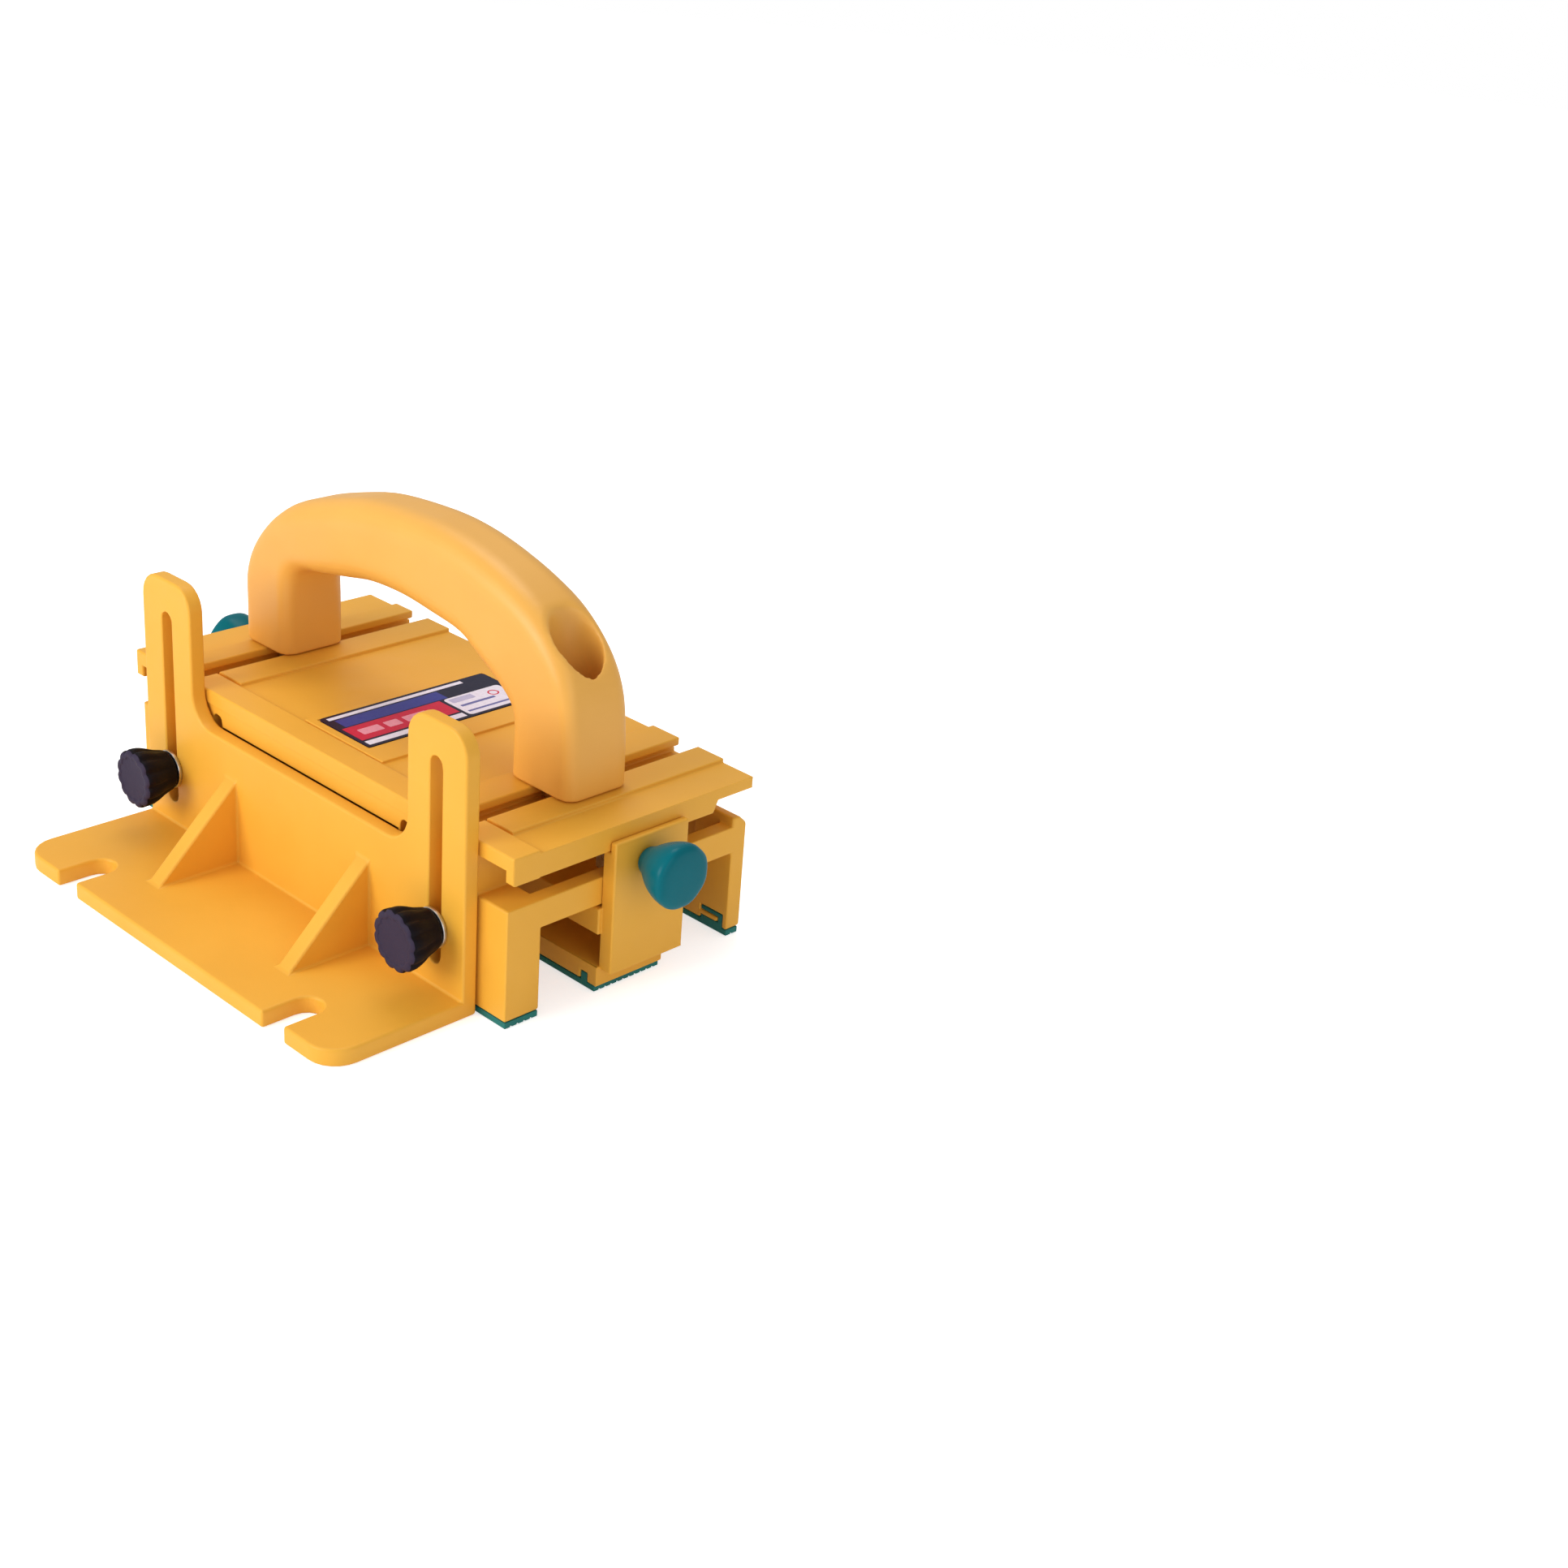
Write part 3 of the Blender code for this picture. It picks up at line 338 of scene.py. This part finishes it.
# A lighter violet-grey copy of the black plastic for the support knobs' outer faces: a painted sheen, standing
# in for the light that the faces reflect.
BLACK_FACE_PAINTED_SHEEN = moulded_plastic(
    "black_face_painted_sheen",
    low=(0.032, 0.023, 0.048),
    high=(0.040, 0.029, 0.058),
    rough=(0.55, 0.7),
    grain_scale=900.0,
    grain_depth=0.10 * MM,
    gloss=0.16,
)
RUBBER = soft_rubber()
STEEL = plated_steel()
INKS = {ink: printed_film(f"{ink}_ink", colour) for ink, colour in INK_COLOURS.items()}


# ---------------------------------------------------------------- mesh helpers


def linked(name, data):
    """A new object in the scene."""
    made = bpy.data.objects.new(name, data)
    bpy.context.scene.collection.objects.link(made)
    return made


def mesh_object(name, mesh):
    """A new object in the scene from a working mesh, which it uses up."""
    data = bpy.data.meshes.new(name)
    mesh.to_mesh(data)
    mesh.free()
    return linked(name, data)


def finish_piece(mesh, name, look, body, stands_for, smooth=True):
    """Makes the piece from a mesh in metres, in the frame's place, and tells the frame what it is."""
    made = mesh_object(name, mesh)
    data = made.data
    looks = look if isinstance(look, (list, tuple)) else (look,)
    for one in looks:
        data.materials.append(one)
    if smooth:
        data.shade_smooth()
        data.set_sharp_from_angle(angle=SHARP)
    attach(made, body)
    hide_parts(*stands_for)
    return made


def free_width(edge):
    """How far the faces beside an edge reach before they meet another edge across it."""
    start = edge.verts[0].co
    along = edge.verts[1].co - start
    length = along.length
    along = along / length
    room = length
    for face in edge.link_faces:
        for vert in face.verts:
            if vert in edge.verts:
                continue
            offset = vert.co - start
            position = offset.dot(along)
            if position < -PAST_END or position > length + PAST_END:
                continue
            across = (offset - along * position).length
            if across > NO_WIDTH:
                room = min(room, across)
    return room


def box(mesh, x, y, z):
    """Adds a box between the given ends on each axis."""
    size = Vector((x[1] - x[0], y[1] - y[0], z[1] - z[0]))
    centre = Vector((x[0] + x[1], y[0] + y[1], z[0] + z[1])) / 2
    bmesh.ops.create_cube(mesh, size=1.0, matrix=Matrix.Translation(centre) @ Matrix.Diagonal((*size, 1.0)))


def applied(made):
    """The mesh of an object with its modifiers applied. The object itself goes."""
    bpy.context.view_layer.update()
    evaluated = made.evaluated_get(bpy.context.evaluated_depsgraph_get())
    mesh = bmesh.new()
    mesh.from_mesh(evaluated.to_mesh())
    evaluated.to_mesh_clear()
    bpy.data.objects.remove(made)
    return mesh


def copy_of(cad_node):
    """A loose copy of a CAD node, to work on."""
    return linked(f"{cad_node}_copy", nodes[cad_node].data.copy())


def carved(cad_node, tool):
    """A CAD node's mesh with a solid cut out of it."""
    cutter = mesh_object("tool", tool)
    target = copy_of(cad_node)
    modifier = target.modifiers.new("cut", "BOOLEAN")
    modifier.operation = "DIFFERENCE"
    modifier.solver = "EXACT"
    modifier.object = cutter
    mesh = applied(target)
    bpy.data.objects.remove(cutter)
    return mesh


def soften(name, cad_node, width, body, look, mesh=None, split=False):
    """A copy of a CAD node whose edges are rounded, each as far as the faces beside it allow. Split cuts its
    flat faces into triangles first, for a shape whose faces run round holes and posts."""
    if mesh is None:
        mesh = bmesh.new()
        mesh.from_mesh(nodes[cad_node].data)
    bmesh.ops.remove_doubles(mesh, verts=mesh.verts, dist=WELD)
    bmesh.ops.dissolve_limit(mesh, angle_limit=FLAT, verts=mesh.verts, edges=mesh.edges)
    weights = mesh.edges.layers.float.new("bevel_weight_edge")
    for edge in mesh.edges:
        if len(edge.link_faces) != 2:
            continue
        if edge.calc_face_angle(0.0) < SHARP:
            continue
        edge[weights] = min(1.0, BEVEL_SHARE * free_width(edge) / width)
    if split:
        bmesh.ops.triangulate(mesh, faces=[face for face in mesh.faces if len(face.verts) > 4])
    made = finish_piece(mesh, name, look, body, (cad_node,), smooth=False)
    bevel = made.modifiers.new("soft_edges", "BEVEL")
    bevel.limit_method = "WEIGHT"
    bevel.width = width
    bevel.segments = BEVEL_SEGMENTS
    bevel.use_clamp_overlap = False
    made.data.shade_smooth()
    shading = made.modifiers.new("flat_faces_stay_flat", "WEIGHTED_NORMAL")
    shading.keep_sharp = True
    return made


def place(axis, along, across, up):
    """A point from its distance along the axis and its two other coordinates, in the order X, Y, Z."""
    if axis == "X":
        return Vector((along, across, up))
    if axis == "Y":
        return Vector((across, along, up))
    return Vector((across, up, along))


def turned(mesh, axis, centre, profile, segments, shape=None):
    """Turns a profile of (distance along the axis, radius) round the axis. Shape changes a radius by its
    angle. A radius of zero closes an end, and a profile that starts with any other radius makes a ring."""
    rows = []
    for along, radius in profile:
        if radius == 0.0:
            rows.append([mesh.verts.new(place(axis, along, *centre))])
            continue
        row = []
        for i in range(segments):
            angle = math.tau * i / segments
            reach = radius if shape is None else shape(angle, along, radius)
            across = centre[0] + reach * math.cos(angle)
            row.append(mesh.verts.new(place(axis, along, across, centre[1] + reach * math.sin(angle))))
        rows.append(row)
    pairs = list(zip(rows, rows[1:]))
    if len(rows[0]) > 1:
        pairs.append((rows[-1], rows[0]))
    faces = []
    for lower, upper in pairs:
        for i in range(segments):
            j = (i + 1) % segments
            corners = [lower[i % len(lower)], lower[j % len(lower)]]
            corners += [upper[j % len(upper)], upper[i % len(upper)]]
            faces.append(mesh.faces.new(list(dict.fromkeys(corners))))
    bmesh.ops.recalc_face_normals(mesh, faces=faces)


def curve_through(points):
    """A Catmull-Rom curve through a profile's points."""
    made = []
    last = len(points) - 1
    for i in range(last):
        p = [Vector(points[min(max(i + k, 0), last)]) for k in (-1, 0, 1, 2)]
        for step in range(PROFILE_STEPS):
            t = step / PROFILE_STEPS
            line = 2.0 * p[1] + (p[2] - p[0]) * t
            bend = (2.0 * p[0] - 5.0 * p[1] + 4.0 * p[2] - p[3]) * t * t
            twist = (3.0 * p[1] - p[0] - 3.0 * p[2] + p[3]) * t**3
            value = 0.5 * (line + bend + twist)
            made.append((value.x, value.y))
    made.append(points[last])
    return made


def middle(node_name):
    """The centre of a CAD node's box."""
    low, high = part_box(node_name)
    return [(a + b) / 2 for a, b in zip(low, high)]


def axis_centre(node_name, axis):
    """The two coordinates across an axis of a CAD node's box centre, in the order X, Y, Z."""
    x, y, z = middle(node_name)
    return {"X": (y, z), "Y": (x, z), "Z": (x, y)}[axis]


def span(node_name, axis):
    """Where a CAD node's box starts and ends on an axis."""
    low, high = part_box(node_name)
    i = "XYZ".index(axis)
    return low[i], high[i]


# ---------------------------------------------------------------- mouldings


def rim_verts(mesh, centre, radius):
    """The points round the upper end of a counterbore, on both sides of its rim."""
    found = []
    for vert in mesh.verts:
        reach = math.hypot(vert.co.x - centre[0], vert.co.y - centre[1])
        if vert.co.z > RIM_LOW_Z and abs(reach - radius) < RIM_REACH:
            found.append(vert)
    return found


def handle_moulding():
    """The handle, skinned again at a fine pitch and relaxed, most of all round its counterbores' rims."""
    source = copy_of("handle_grip")
    skin = source.modifiers.new("fine_skin", "REMESH")
    skin.mode = "VOXEL"
    skin.voxel_size = HANDLE_PITCH
    relax = source.modifiers.new("relax", "SMOOTH")
    relax.factor = RELAX_SHARE
    relax.iterations = HANDLE_RELAX
    mesh = applied(source)
    for end, radius in RIM_RADII.items():
        rim = rim_verts(mesh, axis_centre(f"handle_bolt_{end}", "Z"), radius)
        for _ in range(RIM_RELAX):
            bmesh.ops.smooth_vert(
                mesh, verts=rim, factor=RELAX_SHARE, use_axis_x=True, use_axis_y=True, use_axis_z=True
            )
    # The handle takes the paler yellow with its painted sheen.
    made = finish_piece(
        mesh, "handle_moulding", HANDLE_YELLOW_PAINTED_SHEEN, "handle", ("handle_grip",), smooth=False
    )
    made.data.shade_smooth()


def sole_grooves(cad_node):
    """Grooves along a sole's tread, evenly spaced over its width."""
    low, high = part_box(cad_node)
    width = high.y - low.y
    count = max(1, round(width / GROOVE_PITCH) - 1)
    mesh = bmesh.new()
    for i in range(count):
        y = low.y + width * (i + 1) / (count + 1)
        box(
            mesh,
            (low.x - MM, high.x + MM),
            (y - GROOVE_WIDTH / 2, y + GROOVE_WIDTH / 2),
            (low.z - MM, low.z + GROOVE_DEPTH),
        )
    return mesh


# ---------------------------------------------------------------- knobs


def flutes(count, depth, sharpness, start, end):
    """A radius rule: grooves between lobes, which fade in from start to end along the knob."""

    def shape(angle, along, radius):
        share = min(max((along - start) / (end - start), 0.0), 1.0)
        groove = (0.5 + 0.5 * math.cos(count * angle)) ** sharpness
        return radius * (1.0 - depth * share * groove)

    return shape


def knob(cad_node, axis, profile, flute_form, looks):
    """A moulded knob over its stud, on the CAD node's axis and base, with fine flutes. Looks holds the
    material of its side and of its outer face."""
    body = f"{cad_node}_body"
    low, high = span(cad_node, axis)
    outward = 1.0 if axis == "X" and low > 0.0 else -1.0
    base = low if outward > 0.0 else high
    centre = axis_centre(cad_node, axis)
    points = [(base + outward * MM * along, MM * radius) for along, radius in profile]
    fade = [base + outward * MM * along for along in FLUTE_FADE]
    mesh = bmesh.new()
    turned(mesh, axis, centre, points, KNOB_SEGMENTS, flutes(*flute_form, *fade))
    face_from = base + outward * KNOB_FACE_SHARE * (high - low)
    for face in mesh.faces:
        along = face.calc_center_median()["XYZ".index(axis)]
        face.material_index = int(outward * (along - face_from) > 0.0)
    finish_piece(mesh, f"{cad_node}_moulding", looks, body, (cad_node,))


def stud_hole(depth):
    """The hole in a knob's base, from the middle of its bottom to its opening, whose edge is chamfered."""
    radius = STUD_HOLE_RADIUS
    edge = STUD_HOLE_EDGE
    return [(depth, 0.0), (depth, radius), (edge, radius), (0.0, radius + edge)]


def leg_knob_profile():
    """From the bottom of the stud hole round the base and cone to the middle of the domed face."""
    dome_end = [(LEG_KNOB_RIM[-1][0], 0.0)]
    outside = curve_through(LEG_KNOB_SIDE) + curve_through(LEG_KNOB_RIM)[1:]
    return stud_hole(LEG_KNOB_HOLE_DEPTH) + outside + dome_end


def support_knob_profile():
    """From the bottom of the stud hole round the base and barrel to the flat face with its shallow dish."""
    outside = curve_through(SUPPORT_KNOB_SIDE) + curve_through(SUPPORT_KNOB_RIM)[1:]
    return stud_hole(SUPPORT_KNOB_HOLE_DEPTH) + outside + list(SUPPORT_KNOB_DISH)


# ---------------------------------------------------------------- fasteners


def thread(pitch, depth, start, end):
    """A radius rule: a rolled thread between start and end, plain outside them."""

    def shape(angle, along, radius):
        room = min(along - start, end - along)
        if room <= 0.0:
            return radius
        phase = (along / pitch - angle / math.tau) % 1.0
        ridge = abs(2.0 * phase - 1.0)
        crest = min(max((ridge - THREAD_ROOT) / (1.0 - 2.0 * THREAD_ROOT), 0.0), 1.0)
        return radius - depth * (1.0 - crest) * min(1.0, room / pitch)

    return shape


def rod_profile(low, high, radius, step):
    """A rod with chamfered ends, with a ring at each step along it for the thread."""
    plain = high - low - 2.0 * ROD_CHAMFER
    count = math.ceil(plain / step)
    points = [(low, 0.0), (low, radius - ROD_CHAMFER)]
    for i in range(count + 1):
        points.append((low + ROD_CHAMFER + plain * i / count, radius))
    return points + [(high, radius - ROD_CHAMFER), (high, 0.0)]


def threaded_stud(cad_node, axis, body):
    """A knob's stud, with a rolled thread all along it."""
    low, high = span(cad_node, axis)
    centre = axis_centre(cad_node, axis)
    mesh = bmesh.new()
    profile = rod_profile(low, high, ROD_RADIUS, THREAD_PITCH / THREAD_STEPS)
    turned(mesh, axis, centre, profile, ROD_SEGMENTS, thread(THREAD_PITCH, THREAD_DEPTH, low, high))
    finish_piece(mesh, f"{cad_node}_threaded", STEEL, body, (cad_node,))


def t_bolt(cad_node, body):
    """A bolt with a square head, softly rounded, and a threaded shank, as one skin."""
    low, high = span(cad_node, "Z")
    left, right = span(cad_node, "X")
    half = (right - left) / 2
    head_top = low + HEAD_THICKNESS
    edge = HEAD_EDGE
    head = [(low, 0.0), (low, half - 2.0 * edge), (low + edge / 3, half - edge), (low + edge, half)]
    head += [(head_top - edge, half), (head_top - edge / 3, half - edge), (head_top, half - 2.0 * edge)]
    shank = rod_profile(head_top, high, ROD_RADIUS, THREAD_PITCH / THREAD_STEPS)[2:]
    rolled = thread(THREAD_PITCH, THREAD_DEPTH, head_top + THREAD_PITCH, high)

    def shape(angle, along, radius):
        if radius <= ROD_RADIUS:
            return rolled(angle, along, radius)
        corner = max(abs(math.cos(angle)), abs(math.sin(angle)))
        return min(radius / corner, half * HEAD_CORNER_REACH)

    mesh = bmesh.new()
    turned(mesh, "Z", axis_centre(cad_node, "Z"), head + shank, BOLT_SEGMENTS, shape)
    finish_piece(mesh, f"{cad_node}_threaded", STEEL, body, (cad_node,))


def hex_nut(cad_node, axis, body):
    """A hexagon nut with chamfered corners and a countersunk bore."""
    low, high = span(cad_node, axis)
    flat = NUT_ACROSS_FLATS / 2

    def shape(angle, along, radius):
        if radius < flat:
            return radius
        turn = (angle + math.pi / 6) % (math.pi / 3) - math.pi / 6
        hexagon = flat / math.cos(math.pi / 6 - abs(turn))
        inset = min(along - low, high - along)
        return min(hexagon, flat * NUT_FACE + inset * NUT_CHAMFER_SLOPE)

    rows = [(low + NUT_SINK, NUT_BORE), (low, NUT_BORE + NUT_SINK), (low, flat)]
    rows += [(low + NUT_DROP * share, flat) for share in (0.3, 0.6, 1.0)]
    rows += [(high - NUT_DROP * share, flat) for share in (1.0, 0.6, 0.3)]
    rows += [(high, flat), (high, NUT_BORE + NUT_SINK), (high - NUT_SINK, NUT_BORE)]
    mesh = bmesh.new()
    turned(mesh, axis, axis_centre(cad_node, axis), rows, NUT_SEGMENTS, shape)
    finish_piece(mesh, f"{cad_node}_chamfered", STEEL, body, (cad_node,))


def washer(cad_node, axis, body):
    """A pressed washer with rounded edges."""
    low, high = span(cad_node, axis)
    across = "Z" if axis == "Y" else "X"
    ends = span(cad_node, across)
    outer = (ends[1] - ends[0]) / 2
    edge = WASHER_EDGE
    rows = [
        (low, WASHER_BORE + edge),
        (low, outer - edge),
        (low + edge / 3, outer - edge / 3),
        (low + edge, outer),
        (high - edge, outer),
        (high - edge / 3, outer - edge / 3),
        (high, outer - edge),
        (high, WASHER_BORE + edge),
        (high - edge, WASHER_BORE),
        (low + edge, WASHER_BORE),
    ]
    mesh = bmesh.new()
    turned(mesh, axis, axis_centre(cad_node, axis), rows, WASHER_SEGMENTS)
    finish_piece(mesh, f"{cad_node}_pressed", STEEL, body, (cad_node,))


# ---------------------------------------------------------------- label


def ink_patch(mesh, corners, low, high, ink, radius):
    """A thin printed patch: a closed outline in the label's plane, with rounded corners."""
    outline = []
    count = len(corners)
    for i in range(count):
        here = Vector(corners[i])
        if radius == 0.0:
            outline.append(here)
            continue
        back = (Vector(corners[i - 1]) - here).normalized() * radius
        on = (Vector(corners[(i + 1) % count]) - here).normalized() * radius
        for step in range(CORNER_STEPS + 1):
            t = step / CORNER_STEPS
            outline.append(here + back * (1.0 - t) ** 2 + on * t**2)
    bottom = [mesh.verts.new((p.x, p.y, low)) for p in outline]
    top = [mesh.verts.new((p.x, p.y, high)) for p in outline]
    faces = [mesh.faces.new(bottom), mesh.faces.new(list(reversed(top)))]
    for i in range(len(outline)):
        j = (i + 1) % len(outline)
        faces.append(mesh.faces.new((bottom[j], bottom[i], top[i], top[j])))
    bmesh.ops.recalc_face_normals(mesh, faces=faces)
    for face in faces:
        face.material_index = ink


def ring_patch(mesh, centre, outer, inner, low, high, ink):
    """A thin printed ring."""
    before = set(mesh.faces)
    turned(mesh, "Z", centre, ((low, inner), (low, outer), (high, outer), (high, inner)), RING_SEGMENTS)
    for face in set(mesh.faces) - before:
        face.material_index = ink


def label():
    """The sticker: a dark film, a white line and a blue band along one side, a crimson field with bars, and a
    pale field with a plain ring and bars. It carries no lettering."""
    low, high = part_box("label_sticker")
    index = {ink: i for i, ink in enumerate(INKS)}
    width = high.x - low.x
    length = high.y - low.y
    film_top = high.z - 2.0 * INK
    bottom = film_top - INK
    mesh = bmesh.new()
    film = ((low.x, low.y), (high.x, low.y), (high.x, high.y), (low.x, high.y))
    ink_patch(mesh, film, low.z, film_top, index["navy"], LABEL_CORNER)
    for ink, x_shares, y_shares, layer, radius in LABEL_PATCHES:
        x = [low.x + width * share for share in x_shares]
        y = [low.y + length * share for share in y_shares]
        corners = ((x[0], y[0]), (x[1], y[0]), (x[1], y[1]), (x[0], y[1]))
        ink_patch(mesh, corners, bottom, film_top + INK * layer, index[ink], radius)
    centre = (low.x + width * RING_AT[0], low.y + length * RING_AT[1])
    ring_patch(mesh, centre, RING_RADIUS, RING_BORE, bottom, high.z, index["red"])
    looks = list(INKS.values())
    finish_piece(mesh, "label_print", looks, "block", ("label_sticker",), smooth=False)


# ---------------------------------------------------------------- the pieces

soften("body_moulding", "body_shell", BODY_EDGE, "block", YELLOW, split=True)
soften("support_moulding", "balance_support", SUPPORT_EDGE, "support", YELLOW)
leg = "centre_leg"
soften(f"{leg}_moulding", f"{leg}_frame", LEG_EDGE, leg, YELLOW, split=True)
handle_moulding()
label()
for sole, body in (("near_leg_sole", "block"), ("far_leg_sole", "block"), (f"{leg}_sole", leg)):
    tread = carved(sole, sole_grooves(sole))
    soften(f"{sole}_tread", sole, SOLE_EDGE, body, RUBBER, tread)
for end in ("front", "rear"):
    leg_knob = f"leg_knob_{end}"
    support_knob = f"support_knob_{end}"
    knob(leg_knob, "X", leg_knob_profile(), LEG_KNOB_FLUTES, (GREEN, GREEN))
    # The support knob's outer face takes the black plastic with its painted sheen.
    knob(support_knob, "Y", support_knob_profile(), SUPPORT_KNOB_FLUTES, (BLACK, BLACK_FACE_PAINTED_SHEEN))
    threaded_stud(f"leg_stud_{end}", "X", f"leg_knob_{end}_body")
    threaded_stud(f"support_stud_{end}", "Y", f"support_knob_{end}_body")
    plate = f"leg_clamp_plate_{end}"
    soften(f"{plate}_pressed", plate, PLATE_EDGE, leg, STEEL)
    washer(f"support_washer_{end}", "Y", "block")
    hex_nut(f"support_nut_{end}", "Y", "block")
    t_bolt(f"handle_bolt_{end}", "handle")
    washer(f"handle_washer_{end}", "Z", "handle")
    hex_nut(f"handle_nut_{end}", "Z", "handle")


# ---------------------------------------------------------------- stage, light and camera


def seen_by_lens(tree, values):
    """The first value for light that falls on the scene, and the second for what the lens sees directly."""
    paths = tree.nodes.new("ShaderNodeLightPath")
    strength = tree.nodes.new("ShaderNodeMapRange")
    strength.inputs["To Min"].default_value = values[0]
    strength.inputs["To Max"].default_value = values[1]
    tree.links.new(paths.outputs["Is Camera Ray"], strength.inputs["Value"])
    return strength.outputs["Result"]


def stage_floor():
    """A white floor that glows a little, so that it stays pale under the soft light."""
    mesh = bmesh.new()
    bmesh.ops.create_circle(mesh, cap_ends=True, segments=FLOOR_SEGMENTS, radius=FLOOR_RADIUS)
    made = mesh_object("floor", mesh)
    made.location.z = -FLOOR_DROP
    look, tree, shader = new_material("pale_floor")
    shader.inputs["Base Color"].default_value = (0.9, 0.9, 0.9, 1.0)
    shader.inputs["Roughness"].default_value = 0.9
    shader.inputs["Specular IOR Level"].default_value = 0.1
    shader.inputs["Emission Color"].default_value = WHITE
    tree.links.new(seen_by_lens(tree, FLOOR_GLOW), shader.inputs["Emission Strength"])
    made.data.materials.append(look)


def area_light(name, at, size, power):
    """A soft square light that faces the middle of the object."""
    data = bpy.data.lights.new(name, "AREA")
    data.shape = "SQUARE"
    data.size = size
    data.energy = power
    made = linked(name, data)
    made.location = at
    made.rotation_euler = (Vector(at) - Vector(LIT_POINT)).to_track_quat("Z", "Y").to_euler()


def studio():
    """A white room, which the lens sees as pure white, and soft lights, the key low on the near side."""
    world = bpy.data.worlds.new("studio")
    bpy.context.scene.world = world
    world.use_nodes = True
    tree = world.node_tree
    background = tree.nodes["Background"]
    background.inputs["Color"].default_value = WHITE
    tree.links.new(seen_by_lens(tree, ROOM_LIGHT), background.inputs["Strength"])
    for name, (at, size, power) in LIGHTS.items():
        area_light(name, at, size, power)


def camera():
    """The camera that fits the photo's edges, on the near side, past the front end, and looking down."""
    data = bpy.data.cameras.new("camera")
    data.lens = CAMERA_LENS
    data.sensor_width = CAMERA_FILM
    made = linked("camera", data)
    turn = Matrix.Rotation(CAMERA_TURN, 4, "Z")
    tilt = Matrix.Rotation(math.pi / 2 - CAMERA_TILT, 4, "X")
    roll = Matrix.Rotation(CAMERA_ROLL, 4, "Z")
    made.matrix_world = Matrix.Translation(CAMERA_AT) @ turn @ tilt @ roll
    bpy.context.scene.camera = made


stage_floor()
studio()
camera()
bpy.context.scene.view_settings.view_transform = "Standard"
